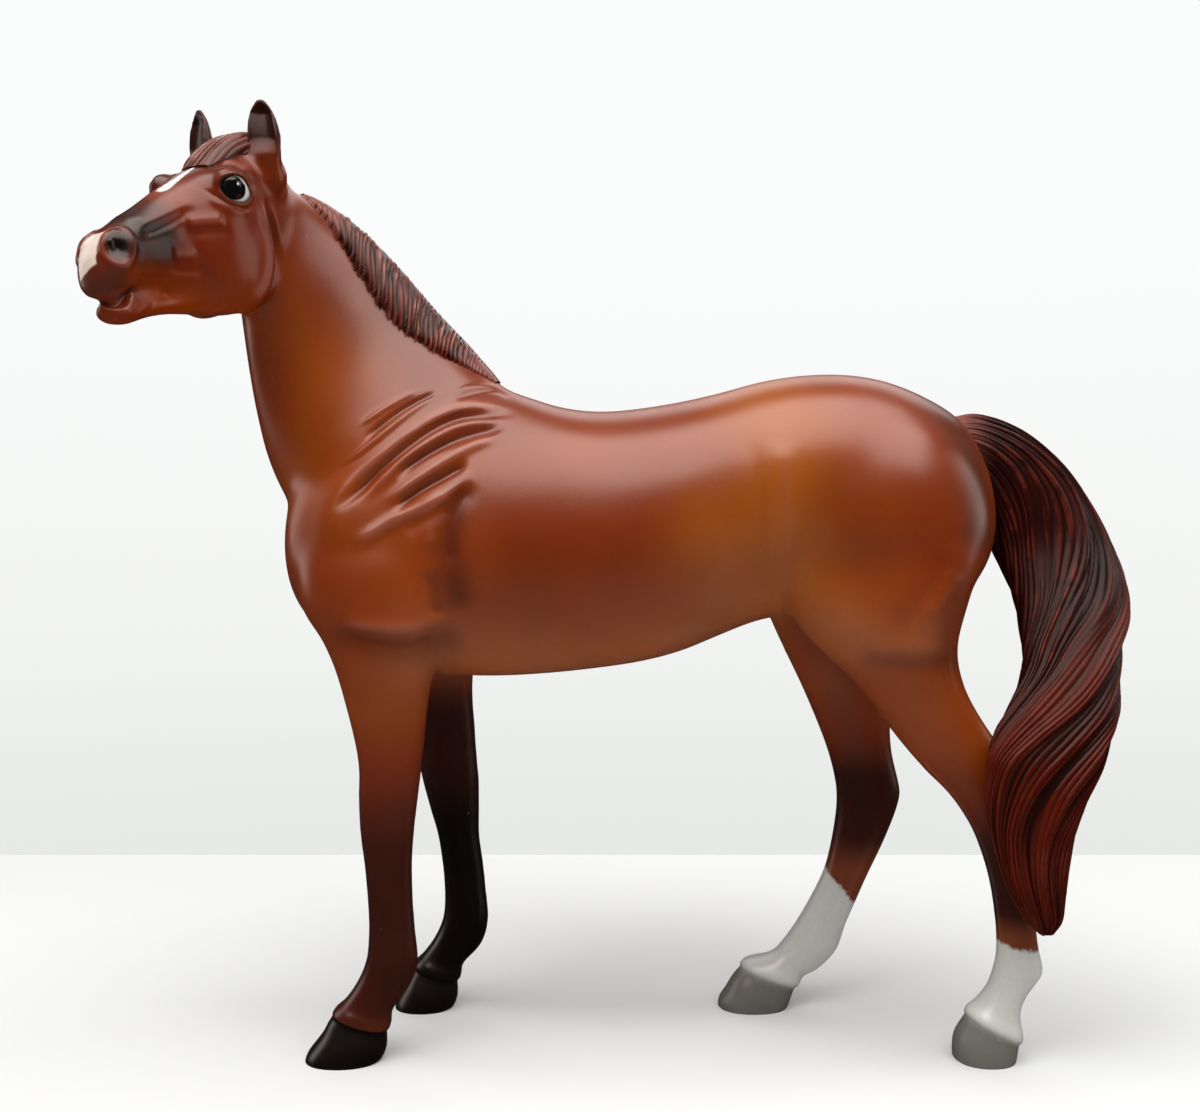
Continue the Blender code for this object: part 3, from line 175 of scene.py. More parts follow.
HINDLEG_PROFILE_SHARES = {
    "left": (
        ((-0.210, 1.080), (0.160, 1.140)), ((-0.235, 1.000), (0.185, 1.060)),
        ((-0.220, 0.900), (0.165, 0.980)), ((-0.180, 0.830), (0.135, 0.880)),
        ((-0.120, 0.770), (0.114, 0.800)), ((-0.060, 0.710), (0.125, 0.740)),
        ((-0.005, 0.635), (0.142, 0.700)), ((0.050, 0.570), (0.184, 0.633)),
        ((0.100, 0.520), (0.230, 0.575)), ((0.138, 0.465), (0.268, 0.510)),
        ((0.160, 0.415), (0.268, 0.430)), ((0.176, 0.360), (0.263, 0.365)),
        ((0.186, 0.300), (0.260, 0.300)), ((0.191, 0.245), (0.266, 0.235)),
        ((0.188, 0.205), (0.274, 0.190)), ((0.173, 0.160), (0.248, 0.152)),
        ((0.150, 0.130), (0.232, 0.118)), ((0.128, 0.106), (0.235, 0.075)),
        ((0.110, 0.070), (0.232, 0.045)), ((0.106, 0.035), (0.223, 0.020)),
        ((0.112, 0.000), (0.215, -0.010)), ((0.116, -0.020), (0.210, -0.020)),
    ),
    "right": (
        ((-0.210, 1.080), (0.160, 1.140)), ((-0.235, 1.000), (0.185, 1.060)),
        ((-0.230, 0.910), (0.165, 0.980)), ((-0.205, 0.845), (0.130, 0.880)),
        ((-0.176, 0.780), (0.100, 0.800)), ((-0.140, 0.705), (0.070, 0.725)),
        ((-0.107, 0.630), (0.053, 0.640)), ((-0.082, 0.565), (0.054, 0.568)),
        ((-0.067, 0.510), (0.068, 0.505)), ((-0.061, 0.463), (0.072, 0.465)),
        ((-0.067, 0.400), (0.043, 0.385)), ((-0.084, 0.322), (-0.001, 0.292)),
        ((-0.107, 0.270), (-0.022, 0.244)), ((-0.137, 0.215), (-0.044, 0.195)),
        ((-0.167, 0.170), (-0.062, 0.145)), ((-0.200, 0.136), (-0.100, 0.105)),
        ((-0.245, 0.126), (-0.134, 0.088)), ((-0.276, 0.099), (-0.144, 0.066)),
        ((-0.296, 0.062), (-0.155, 0.044)), ((-0.312, 0.038), (-0.165, 0.025)),
        ((-0.310, 0.005), (-0.177, 0.000)), ((-0.305, -0.020), (-0.185, -0.020)),
    ),
}
HINDLEG_WIDTH_SHARES = (0.450, 0.750, 0.860, 0.860, 0.740, 0.620, 0.520, 0.440, 0.390, 0.375, 0.340,
                        0.310, 0.300, 0.330, 0.360, 0.335, 0.360, 0.430, 0.475, 0.490, 0.480, 0.475)
HINDLEG_SIDE_SHARES = (0.75, 0.86, 0.93, 0.96, 0.97, 0.97, 0.98, 0.99) + (1.0,) * 14
FORELEG_JOINT_SHARE = 0.72
HINDLEG_JOINT_SHARE = 0.77
TAIL_HEAD_SHARES = (0.950, 0.878)
TAIL_SHARES = (
    ((-0.015, -0.010), (-0.036, -0.102), 0.000, 0.51), ((0.046, -0.006), (0.026, -0.143), 0.000, 0.67),
    ((0.132, -0.039), (0.056, -0.194), 0.000, 0.79), ((0.211, -0.104), (0.066, -0.240), 0.000, 0.89),
    ((0.268, -0.184), (0.069, -0.270), -0.005, 0.95), ((0.306, -0.269), (0.079, -0.301), -0.020, 0.98),
    ((0.318, -0.347), (0.092, -0.352), -0.046, 1.00), ((0.311, -0.408), (0.099, -0.403), -0.077, 0.98),
    ((0.289, -0.464), (0.095, -0.459), -0.112, 0.90), ((0.270, -0.520), (0.083, -0.517), -0.148, 0.79),
    ((0.255, -0.579), (0.046, -0.576), -0.184, 0.67), ((0.229, -0.635), (0.009, -0.627), -0.214, 0.54),
    ((0.207, -0.688), (-0.011, -0.673), -0.232, 0.46), ((0.172, -0.747), (-0.013, -0.735), -0.237, 0.44),
    ((0.148, -0.811), (-0.007, -0.796), -0.236, 0.41), ((0.136, -0.867), (0.009, -0.857), -0.234, 0.38),
    ((0.131, -0.923), (0.032, -0.918), -0.232, 0.33), ((0.127, -0.969), (0.062, -0.969), -0.229, 0.25),
    ((0.112, -0.997), (0.089, -0.997), -0.227, 0.14),
)
EAR_SHARES = (
    (-0.300, 0.00, 0.440, 0.300), (-0.130, 0.00, 0.800, 0.720), (0.000, 0.00, 0.940, 1.000),
    (0.250, 0.20, 1.000, 1.000), (0.500, 0.45, 0.940, 0.880), (0.750, 0.75, 0.740, 0.640),
    (0.920, 0.95, 0.400, 0.400), (1.000, 1.00, 0.140, 0.160),
)
EAR_LEAN_SHARES = {"left": -0.120, "right": 0.080}
EAR_PLACE_SHARES = {"left": (0.200, 0.840, 0.880), "right": (0.230, 0.780, 0.880)}
EAR_TURNS = {"left": math.radians(25), "right": math.radians(12)}
EAR_FOOT = 0.02
EAR_STEPS, EAR_SIDES = 24, 36
EAR_HOLLOW = 0.00135
MANE_SHARES = (
    (0.960, 0.06, 16, 14), (0.900, 0.40, 28, 20), (0.800, 0.80, 40, 22), (0.680, 1.00, 48, 22),
    (0.560, 1.00, 50, 22), (0.440, 1.00, 46, 20), (0.330, 0.80, 36, 18), (0.240, 0.40, 24, 14),
    (0.190, 0.06, 14, 10),
)
FORELOCK_SHARES = (
    (0.095, 0.10, 26, 24), (0.145, 0.65, 34, 30), (0.215, 0.85, 38, 34), (0.280, 0.75, 36, 32),
    (0.345, 0.50, 30, 26), (0.400, 0.06, 20, 16),
)
HAIR_ROOT = 0.0006                      # how far a hair piece reaches under the skin
HEAD_JOINT_SHARES = (0.035, 0.520)
HEAD_JOINT_TURN = math.radians(53)
HEAD_JOINT_LEAN = math.radians(11)
LEG_ROOM_SHARES = {"foreleg": (-0.30, 0.30), "hindleg": (-0.45, 0.40)}

# Relief of the mouldings: height, width, and the line that it follows seen from the side, forward
# and up in millimetres of the figure's own frame. The far side mirrors the near side.
MM = 0.001
BODY_FOLDS = (
    (-0.55, 0.61, (-44.2, 119.0), (-40.1, 122.7), (-36.0, 125.7), (-30.3, 128.9)),
    (0.28, 0.54, (-45.1, 121.8), (-40.1, 125.4), (-34.2, 129.1)),
    (0.30, 0.54, (-48.8, 113.8), (-44.2, 117.2), (-40.1, 120.6), (-34.7, 125.2), (-29.6, 129.1)),
    (0.55, 1.62, (-50.2, 107.4), (-45.6, 112.0), (-40.1, 116.1), (-35.6, 119.7), (-31.0, 123.1),
     (-26.4, 125.4), (-21.0, 125.7), (-16.4, 124.7)),
    (-0.85, 1.08, (-49.5, 105.4), (-45.1, 109.2), (-41.0, 113.3), (-36.5, 117.2), (-31.9, 120.7),
     (-28.3, 122.7), (-25.1, 123.7), (-20.5, 124.1), (-16.0, 124.3)),
    (0.50, 1.15, (-44.7, 107.4), (-39.2, 112.9), (-35.6, 116.1), (-31.9, 118.8), (-27.4, 121.6),
     (-22.8, 122.8), (-17.8, 123.1)),
    (-0.85, 1.01, (-38.3, 111.5), (-34.7, 114.7), (-28.7, 118.4), (-23.7, 120.4), (-17.3, 121.9)),
    (0.55, 1.15, (-40.1, 106.7), (-34.2, 111.1), (-28.3, 115.2), (-24.6, 117.4), (-21.0, 118.8),
     (-17.8, 119.3)),
    (-0.85, 1.01, (-38.3, 105.6), (-34.7, 108.6), (-29.2, 111.9), (-24.2, 114.7)),
    (0.55, 1.28, (-46.1, 99.0), (-42.0, 101.5), (-38.3, 103.8), (-31.9, 106.5), (-27.4, 109.2),
     (-23.3, 112.4)),
    (-0.30, 1.62, (-36.5, 101.5), (-31.0, 104.7), (-27.8, 107.0)),
    (-0.50, 2.00, (-23.3, 111.1), (-25.8, 107.4), (-27.2, 103.3), (-27.4, 98.3), (-26.4, 94.2)),
    (0.30, 2.16, (-30.8, 110.0), (-31.0, 104.0), (-30.9, 98.0)),
    (-0.50, 1.62, (-31.7, 94.6), (-30.9, 91.9), (-30.1, 88.3), (-30.1, 85.5)),
    (-0.55, 1.60, (-47.9, 83.5), (-43.3, 82.0), (-36.5, 81.0), (-31.9, 82.1), (-28.7, 83.7)),
    (0.45, 1.62, (-48.3, 85.1), (-41.0, 83.9), (-34.2, 83.9), (-28.7, 85.5)),
    (-0.20, 0.61, (-27.8, 127.0), (-24.2, 128.6), (-20.1, 129.3), (-17.3, 127.9)),
    (0.20, 0.61, (-28.4, 128.2), (-24.6, 129.9), (-19.6, 130.4)),
    (-0.30, 2.40, (27.8, 121.3), (28.7, 115.9), (29.2, 111.4), (30.1, 105.5), (30.7, 100.1),
     (30.5, 94.7), (30.3, 91.1)),
    (0.30, 2.43, (33.0, 119.0), (33.4, 111.0), (34.0, 103.0), (34.0, 95.0)),
    (-0.30, 2.60, (64.6, 98.3), (61.5, 93.3), (56.5, 87.0), (51.5, 83.8)),
    (0.30, 1.62, (65.1, 95.1), (63.3, 90.6), (58.8, 85.6)),
    (-0.35, 2.30, (51.5, 78.2), (55.6, 77.3), (61.5, 77.5), (64.6, 76.6)),
    (0.30, 1.62, (47.9, 80.7), (53.3, 79.8), (58.8, 80.0), (64.2, 79.3)),
)

# Head relief, seen from the head's own side: along the head from its rear and up, with the roll of
# the head taken out.
HEAD_ROLL = 0.14
CHEEK_FOLDS = (
    (-1.10, 1.10, (9.5, 164.0), (6.3, 157.0), (6.0, 150.0), (8.0, 144.5), (12.0, 141.2)),
    (0.55, 1.30, (11.5, 163.0), (8.6, 156.0), (8.6, 150.0), (10.6, 145.4), (14.5, 142.6)),
    (-0.16, 1.40, (25.6, 156.4), (24.0, 150.0), (20.0, 144.5), (16.6, 141.8)),
    (0.14, 1.80, (23.4, 156.2), (21.8, 150.2), (18.0, 145.4), (15.0, 142.9)),
)
HEAD_FOLDS = (
    (0.29, 1.12, (36.0, 152.6), (32.6, 154.2), (27.1, 157.8), (24.8, 160.6)),
    (-0.29, 1.00, (36.0, 151.2), (32.6, 152.8), (27.5, 156.2), (25.6, 158.6)),
    (0.40, 1.25, (26.6, 155.2), (23.0, 156.4), (19.4, 157.5)),
    (-0.25, 1.12, (28.4, 153.1), (22.0, 155.0), (18.0, 156.0)),
    (0.26, 1.10, (29.0, 149.2), (26.5, 149.8), (24.0, 150.3)),
    (-0.15, 0.80, (29.0, 146.6), (25.0, 147.2), (21.5, 147.8)),
    (0.10, 0.90, (30.0, 145.5), (25.0, 146.1), (22.0, 146.8)),
    (-0.23, 0.56, (22.4, 165.4), (20.6, 166.8), (17.3, 167.6), (13.6, 166.6), (12.0, 164.9)),
    (0.32, 1.12, (22.6, 167.6), (17.5, 169.4), (12.0, 167.2)),
    (-0.18, 0.50, (23.4, 162.6), (20.4, 161.0), (16.5, 160.2), (13.2, 161.4)),
    (0.14, 0.75, (22.8, 160.8), (18.8, 159.4), (14.0, 160.0)),
    (-0.58, 0.53, (41.5, 138.9), (38.0, 139.1), (36.0, 141.0), (34.6, 143.1)),
    (0.25, 0.75, (37.6, 137.8), (35.8, 139.2), (34.4, 141.6)),
    (0.22, 1.12, (41.0, 141.2), (37.5, 141.2), (34.4, 144.8)),
    (-0.14, 0.75, (34.4, 136.8), (32.0, 138.5), (30.4, 141.0)),
)
EYE_CENTRE = (17.7, 9.2, 163.4)         # along, out and up, in the head's own side view
EYE_SLANT = (0.923, -0.384)
EYE_HALF = (3.05, 2.10)
IRIS = (0.75, 1.15, 2.05)                # forward of the centre, stretch and radius
NOSTRIL = ((39.4, 4.1, 148.7), (2.0, 1.7, 2.7))
NOSTRIL_LIP = (38.6, 4.4, 145.4)
STAR_LINE = ((26.6, -0.9), (23.2, -0.6), (19.6, -0.1))
SNIP = ((1.2, 150.1), (-2.4, 151.4), (-1.6, 147.9), (-1.9, 145.0), (1.9, 142.0), (2.6, 145.3),
        (2.1, 148.0))

# Pigments, as linear colours
BROWN = (0.255, 0.036, 0.0005)
OCHRE = (0.420, 0.112, 0.006)
DEEP = (0.185, 0.020, 0.0005)
MAROON = (0.160, 0.022, 0.004)
PALE = (0.350, 0.098, 0.032)
UMBER = (0.040, 0.005, 0.001)
BLACK = (0.004, 0.002, 0.001)
SOCK = (0.600, 0.600, 0.570)
EYE_BLACK = (0.004, 0.005, 0.006)
GREY_HOOF = (0.150, 0.148, 0.128)
# Pinkish rubbed paint for the ridges, which is also a painted highlight there
WEAR_AND_HIGHLIGHT = (0.430, 0.170, 0.110)
DUST = (0.620, 0.520, 0.460)
# Painted shade in the grooves between carved hair strands
GROOVE_SHADE = (0.012, 0.002, 0.001)
HAIR = (0.075, 0.017, 0.012)
# Painted highlight on the backs of the mane's strands
HAIR_HIGHLIGHT = (0.300, 0.120, 0.090)
HAIR_TIP = (0.130, 0.018, 0.008)
TAIL_HAIR = (0.026, 0.002, 0.001)
# Painted highlight on the backs of the tail's strands
TAIL_HIGHLIGHT = (0.100, 0.013, 0.005)
TAIL_TIP = (0.085, 0.006, 0.001)
FACE = (0.150, 0.013, 0.001)
# Painted highlight along the bridge of the nose
ROSE_HIGHLIGHT = (0.420, 0.200, 0.140)
MUZZLE = (0.085, 0.020, 0.012)
# Painted highlight along the ridges of the moulded folds, and painted shade in their grooves
RIDGE_HIGHLIGHT = (0.330, 0.090, 0.055)
VALLEY_SHADE = (0.110, 0.010, 0.003)
CREST = (0.190, 0.050, 0.036)
RUST = (0.190, 0.036, 0.008)
LIVER = (0.110, 0.012, 0.002)
AMBER = (0.285, 0.050, 0.0005)
WHITE = (0.800, 0.780, 0.740)
SNIP_PINK = (0.800, 0.640, 0.540)
FORE_OCHRE = (0.260, 0.048, 0.002)
FORE_DARK = (0.090, 0.010, 0.001)
FORE_LOW = (0.050, 0.005, 0.001)
HIND_OCHRE = (0.270, 0.044, 0.003)

# Airbrush strokes are pigment, strength, width and line, seen from the side as the relief is.
FACE_STROKES = (
    (FACE, 0.90, 20.0, (8.0, 158.0), (22.0, 154.0), (38.0, 146.0)),
    (BROWN, 0.70, 5.0, (30.0, 142.5), (22.0, 141.5), (14.0, 143.0)),
    (DEEP, 0.60, 4.0, (27.0, 158.5), (22.0, 157.0)),
    # Painted highlight along the bridge of the nose
    (ROSE_HIGHLIGHT, 0.15, 1.6, (38.0, 152.5), (32.0, 158.5), (26.0, 162.5)),
    (BLACK, 1.00, 3.2, (35.0, 152.5), (34.0, 153.0), (30.5, 152.5)),
    (BLACK, 0.90, 3.0, (35.5, 149.0), (33.5, 148.5), (31.0, 149.5)),
    (BLACK, 0.60, 2.0, (33.5, 155.0), (31.0, 157.0)),
    (UMBER, 0.70, 2.2, (36.0, 145.8), (33.0, 146.0)),
    (MUZZLE, 0.90, 3.4, (41.5, 142.0), (38.5, 142.6)),
    (DEEP, 0.80, 2.2, (38.5, 137.0), (33.5, 137.2)),
    (BROWN, 0.50, 2.0, (36.5, 144.5), (33.0, 145.5)),
    (UMBER, 0.55, 3.2, (21.0, 166.0), (17.0, 167.5), (13.0, 166.0)),
    (MAROON, 0.60, 3.0, (15.0, 163.0), (20.0, 163.0)),
    (MAROON, 0.70, 4.0, (12.0, 173.0), (6.0, 175.0)),
    (DEEP, 0.60, 5.0, (9.0, 150.0), (12.0, 146.0)),
    # Painted shade in the crease between the cheek and the neck
    (UMBER, 0.50, 2.2, (6.5, 158.0), (6.0, 150.0), (8.0, 144.5)),
)
AIRBRUSH = (
    (MAROON, 0.60, 8.0, (-16.0, 128.0), (5.0, 127.0), (25.0, 131.0), (45.0, 134.0), (60.0, 129.0)),
    (MAROON, 0.55, 6.0, (-18.0, 108.0), (0.0, 110.0), (22.0, 113.0)),
    (DEEP, 0.85, 11.0, (-12.0, 100.0), (0.0, 99.0), (8.0, 101.0)),
    (OCHRE, 0.40, 9.0, (20.0, 101.0), (25.0, 97.0)),
    (OCHRE, 0.52, 10.0, (31.0, 126.0), (34.5, 111.0), (38.0, 97.0), (41.0, 88.0)),
    (DEEP, 0.55, 8.0, (45.0, 106.0), (47.0, 97.0)),
    (DEEP, 0.70, 7.0, (61.0, 117.0), (62.0, 98.0)),
    (UMBER, 0.70, 4.5, (66.0, 126.0), (70.0, 115.0), (70.5, 102.0)),
    # The pale belly is the coat's paler underside and, in part, painted light thrown up from the white
    # floor
    (PALE, 0.75, 8.0, (-32.0, 79.0), (-10.0, 77.0), (12.0, 80.0), (27.0, 88.0)),
    (PALE, 0.60, 6.0, (44.0, 83.0), (52.0, 79.0), (60.0, 81.0)),
    (MAROON, 0.70, 7.0, (-30.0, 126.0), (-22.0, 124.0), (-17.0, 120.0)),
    (AMBER, 0.70, 12.0, (-52.0, 132.0), (-55.0, 118.0), (-54.0, 104.0)),
    (AMBER, 0.50, 7.0, (-49.0, 133.0), (-46.0, 140.0)),
    (LIVER, 0.75, 9.0, (-34.0, 134.0), (-44.0, 146.0), (-56.0, 160.0)),
    (DEEP, 0.60, 7.0, (-66.0, 132.0), (-64.0, 120.0)),
    # Painted shade in the creases behind and under the shoulder and around the haunch
    (UMBER, 0.60, 3.0, (-25.5, 108.0), (-27.4, 102.0), (-27.0, 95.0), (-26.0, 90.0)),
    (UMBER, 0.45, 2.6, (-47.0, 82.5), (-36.5, 79.6), (-28.5, 82.0)),
    (UMBER, 0.40, 3.0, (66.5, 92.0), (64.0, 84.0), (64.0, 78.0)),
    (UMBER, 0.40, 2.2, (50.0, 78.4), (57.0, 77.0), (64.0, 76.8)),
    (DEEP, 0.50, 8.0, (-55.0, 98.0), (-50.0, 90.0)),
    (UMBER, 0.55, 3.5, (65.0, 77.0), (70.0, 69.0), (73.5, 63.0), (77.0, 55.0)),
)

# Leg shades are height in millimetres and pigment. Hooves and socks begin under a line from front to
# rear in the side view.
LEG_SHADES = {
    "foreleg_left": ((79, FORE_OCHRE), (69, FORE_OCHRE), (59, DEEP), (50, FORE_DARK), (43, FORE_LOW),
                     (28, UMBER), (19, UMBER), (12, FORE_LOW), (9, FORE_DARK)),
    # The far foreleg is painted darker than the near one from the top down: painted shade under the body
    "foreleg_right": ((79, FORE_LOW), (68, UMBER), (55, UMBER), (42, BLACK), (5, BLACK)),
    "hindleg_left": ((84, PALE), (76, HIND_OCHRE), (62, HIND_OCHRE), (52, DEEP), (44, FORE_LOW),
                     (38, UMBER), (30, UMBER), (26, RUST), (5, RUST)),
    "hindleg_right": ((84, BROWN), (72, HIND_OCHRE), (60, DEEP), (52, UMBER), (44, UMBER),
                      (38, FORE_LOW), (32, RUST), (5, RUST)),
}
HOOF_LINES = {
    "foreleg_left": ((-50.5, 11.2), (-38.9, 7.9)), "foreleg_right": ((-39.5, 11.2), (-28.9, 7.9)),
    "hindleg_left": ((66.9, 11.9), (77.0, 6.9)), "hindleg_right": ((28.3, 11.5), (41.0, 7.0)),
}
SOCK_LINES = {
    "hindleg_left": ((71.0, 25.4), (79.0, 23.8)), "hindleg_right": ((45.0, 34.4), (52.5, 25.4)),
}

# Material slot of each kind of piece, its gloss, and the marks painted on it: point value, pigment,
# edge width and raggedness in millimetres
SLOTS = {"body_shell": "coat", "neck_shell": "coat", "head_shell": "face", "foreleg": "dark_leg",
         "hindleg": "white_leg", "ear": "ear"}
GLOSS = 0.80
GLOSSES = {"ear": 0.25, "face": 0.50}
SHEEN_TINT = (1.0, 0.80, 0.72)
SKIN_ROUGHNESS = (0.285, 0.335)
EYE_ROUGHNESS = 0.06
LAYERS = {
    "face": (("star", WHITE, 0.25, 0.8), ("snip", SNIP_PINK, 0.20, 0.5), ("nostril", BLACK, 0.30, 0.3),
             ("eye", WHITE, 0.10, 0.0), ("iris", EYE_BLACK, 0.10, 0.0), ("glint", WHITE, 0.06, 0.0)),
    "dark_leg": (("hoof", BLACK, 0.12, 0.2),),
    "white_leg": (("sock", SOCK, 0.45, 1.6), ("hoof", GREY_HOOF, 1.30, 0.3)),
}

# Hair. Strands begin and end between shares of the crest; pitch is millimetres from strand to strand.
MANE_STRANDS = (0.12, 0.22, 0.84, 0.93)
MANE_PITCH = 0.85
MANE_LEAN = (0.65, 0.42)                # how far back for each length down, at the poll and the withers
MANE_HOOK = 0.020                       # how much their lower ends turn back, by the square of the fall
FORELOCK_STRANDS = (-0.2, 0.0, 1.0, 1.2)
FORELOCK_PITCH = 1.1
TAIL_TWIST = 0.55                       # whole turns of the locks round the tail
TAIL_PARTING = 0.335                    # where round the tail its dark lock meets its red one
TAIL_LOCKS, TAIL_STRANDS, TAIL_HAIRS = 9, 46, 120

# Stage. Lamps are place, width and depth, and how bright they look from in front.
LAMP_TARGET = (0, 0, 0.1)
LAMPS = {
    "overhead": ((0.0, -0.20, 0.62), (1.00, 0.60), 4.0),
    "rear": ((0.05, 0.42, 0.50), (0.80, 0.25), 1.6),
    "left": ((-0.90, 0.15, 0.35), (0.40, 0.60), 1.6),
    "right": ((0.90, 0.10, 0.35), (0.40, 0.60), 1.6),
}
WORLD_STRENGTH = 0.02
PAPER_LOW = (0.800, 0.815, 0.800)       # the white paper that the camera sees behind the floor
PAPER_MIDDLE = (0.895, 0.905, 0.890)
PAPER_HIGH = (0.960, 0.975, 0.970)
FLOOR_WHITE = (0.780, 0.780, 0.770)
FLOOR_LIFT = 0.05                       # white that only the camera sees on the floor
FLOOR_HALF_WIDTH = 0.8
FLOOR_ENDS = (-0.7, 0.157)
CAMERA_PLACE = (-0.007833, -0.239030, 0.0947)
CAMERA_LENS = 37.5


# Shapes shared with the solids

def trunk_point(along, up):
    return (along * BODY_LENGTH - CHEST_FORWARD, BELLY_HEIGHT + up * BODY_DEPTH)


def trunk_sections():
    return [Section(trunk_point(along, top), trunk_point(along, bottom), 0.0, 0.0,
                    width * BODY_WIDTH / 2, middle, upper, lower)
            for along, top, bottom, width, middle, upper, lower in TRUNK_SHARES]


def neck_point(forward, up):
    withers = trunk_point(*WITHERS_SHARES)
    return (withers[0] + forward * NECK_LENGTH, withers[1] + up * NECK_LENGTH)


def neck_sections():
    return [Section(neck_point(*crest), neck_point(*throat), side * NECK_LENGTH,
                    math.radians(turn), width * NECK_WIDTH / 2, 0.45, 1.9, 2.1)
            for crest, throat, side, turn, width in NECK_SHARES]


def head_point(along, out, up):
    x, z = neck_point(*JAW_LINE_SHARES)
    zero = Vector((x, neck_sections()[-1].side, z))
    forward = Vector((-math.cos(HEAD_TURN), -math.sin(HEAD_TURN), 0))
    right = Vector((-math.sin(HEAD_TURN), math.cos(HEAD_TURN), 0))
    return (zero + forward * along * HEAD_LENGTH + right * out * HEAD_WIDTH / 2
            + Vector((0, 0, up * HEAD_DEPTH)))


def head_sections(shares):
    rows = []
    for top, bottom, width, middle, upper, lower in shares:
        high = head_point(top[0], 0, top[1])
        low = head_point(bottom[0], 0, bottom[1])
        rows.append(Section((high.x, high.z), (low.x, low.z), (high.y + low.y) / 2, HEAD_TURN,
                            width * HEAD_WIDTH / 2, middle, upper, lower))
    return rows


def leg_sections(profile, widths, sides, place, height, width, track, sign):
    zero = trunk_point(place, 0)[0]
    return [Section((zero + front[0] * height, front[1] * height),
                    (zero + rear[0] * height, rear[1] * height),
                    sign * side_share * track / 2, 0.0, width_share * width / 2, 0.5, 2.2, 2.2)
            for (front, rear), width_share, side_share in zip(profile, widths, sides)]


def foreleg_sections(name):
    return leg_sections(FORELEG_PROFILE_SHARES[name], FORELEG_WIDTH_SHARES, FORELEG_SIDE_SHARES,
                        FORELEG_PLACE_SHARE, FORELEG_HEIGHT, FORELEG_WIDTH, FORE_TRACK, SIDES[name])


def hindleg_sections(name):
    return leg_sections(HINDLEG_PROFILE_SHARES[name], HINDLEG_WIDTH_SHARES, HINDLEG_SIDE_SHARES,
                        HINDLEG_PLACE_SHARE, HINDLEG_HEIGHT, HINDLEG_WIDTH, HIND_TRACK, SIDES[name])


def tail_sections():
    head_x, head_z = trunk_point(*TAIL_HEAD_SHARES)
    return [Section((head_x + outer[0] * TAIL_LENGTH, head_z + outer[1] * TAIL_LENGTH),
                    (head_x + inner[0] * TAIL_LENGTH, head_z + inner[1] * TAIL_LENGTH),
                    side * TAIL_LENGTH, 0.0, thickness * TAIL_THICKNESS / 2, 0.5, 2.1, 2.1)
            for outer, inner, side, thickness in TAIL_SHARES]


def flat(section):
    return np.array([*section.top, *section.bottom, *section[2:]])


def unflat(row):
    return Section((row[0], row[1]), (row[2], row[3]), *row[4:])


def curve_through(rows, share):
    ends = np.vstack([2 * rows[0] - rows[1], rows, 2 * rows[-1] - rows[-2]])
    place = min(max(share, 0.0), 1.0) * (len(rows) - 1)
    first = min(int(place), len(rows) - 2)
    t = place - first
    a, b, c, d = ends[first:first + 4]
    return 0.5 * (2 * b + (c - a) * t + (2 * a - 5 * b + 4 * c - d) * t ** 2
                  + (3 * b - a - 3 * c + d) * t ** 3)


def blend(sections, steps=LOFT_STEPS):
    rows = np.array([flat(section) for section in sections])
    count = (len(sections) - 1) * steps + 1
    return [unflat(curve_through(rows, share)) for share in np.linspace(0, 1, count)]


def section_frame(section, grow=0.0):
    slope = math.tan(section.turn)
    middle_x = (section.top[0] + section.bottom[0]) / 2
    top = Vector((section.top[0], section.side + (section.top[0] - middle_x) * slope, section.top[1]))
    bottom = Vector((section.bottom[0], section.side + (section.bottom[0] - middle_x) * slope,
                     section.bottom[1]))
    along = (top - bottom).normalized()
    widest = bottom.lerp(top, section.middle)
    sideways = Vector((-math.sin(section.turn), math.cos(section.turn), 0))
    return top + along * grow, widest, bottom - along * grow, sideways


def section_point(section, angle, grow=0.0):
    top, widest, bottom, sideways = section_frame(section, grow)
    cosine, sine = math.cos(angle), math.sin(angle)
    power = 2 / (section.upper if sine > 0 else section.lower)
    out = math.copysign(abs(cosine) ** power, cosine) * (section.half_width + grow)
    rise = abs(sine) ** power
    half = top - widest if sine > 0 else bottom - widest
    return widest + sideways * out + half * rise


def closed_skin(loops):
    bm = bmesh.new()
    rings = [[bm.verts.new(point) for point in loop] for loop in loops]
    for one, other in zip(rings, rings[1:]):
        for i in range(len(one)):
            j = (i + 1) % len(one)
            bm.faces.new((one[i], one[j], other[j], other[i]))
    bm.faces.new(rings[0])
    bm.faces.new(reversed(rings[-1]))
    bmesh.ops.recalc_face_normals(bm, faces=bm.faces)
    return bm


def add_loft(bm, sections, grow=0.0):
    turns = [2 * math.pi * i / LOFT_SIDES for i in range(LOFT_SIDES)]
    add_to(bm, closed_skin([[section_point(s, turn, grow) for turn in turns] for s in sections]))


def add_lump(bm, centre, size, turn=0.0):
    ball = bmesh.new()
    bmesh.ops.create_uvsphere(ball, u_segments=48, v_segments=24, radius=1)
    bmesh.ops.transform(ball, verts=ball.verts, matrix=Matrix.Translation(centre)
                        @ Matrix.Rotation(turn, 4, "Z") @ Matrix.Diagonal((*size, 1)))
    add_to(bm, ball)


def add_head_lump(bm, place, size, sign):
    centre = head_point(place[0], sign * place[1], place[2])
    half = (size[0] * HEAD_LENGTH, size[1] * HEAD_WIDTH / 2, size[2] * HEAD_DEPTH)
    add_lump(bm, centre, half, HEAD_TURN)


def add_to(bm, other):
    mesh = bpy.data.meshes.new("piece")
    other.to_mesh(mesh)
    other.free()
    bm.from_mesh(mesh)
    bpy.data.meshes.remove(mesh)


def apply_modifiers(obj):
    graph = bpy.context.evaluated_depsgraph_get()
    mesh = bpy.data.meshes.new_from_object(obj.evaluated_get(graph))
    obj.modifiers.clear()
    old = obj.data
    obj.data = mesh
    bpy.data.meshes.remove(old)


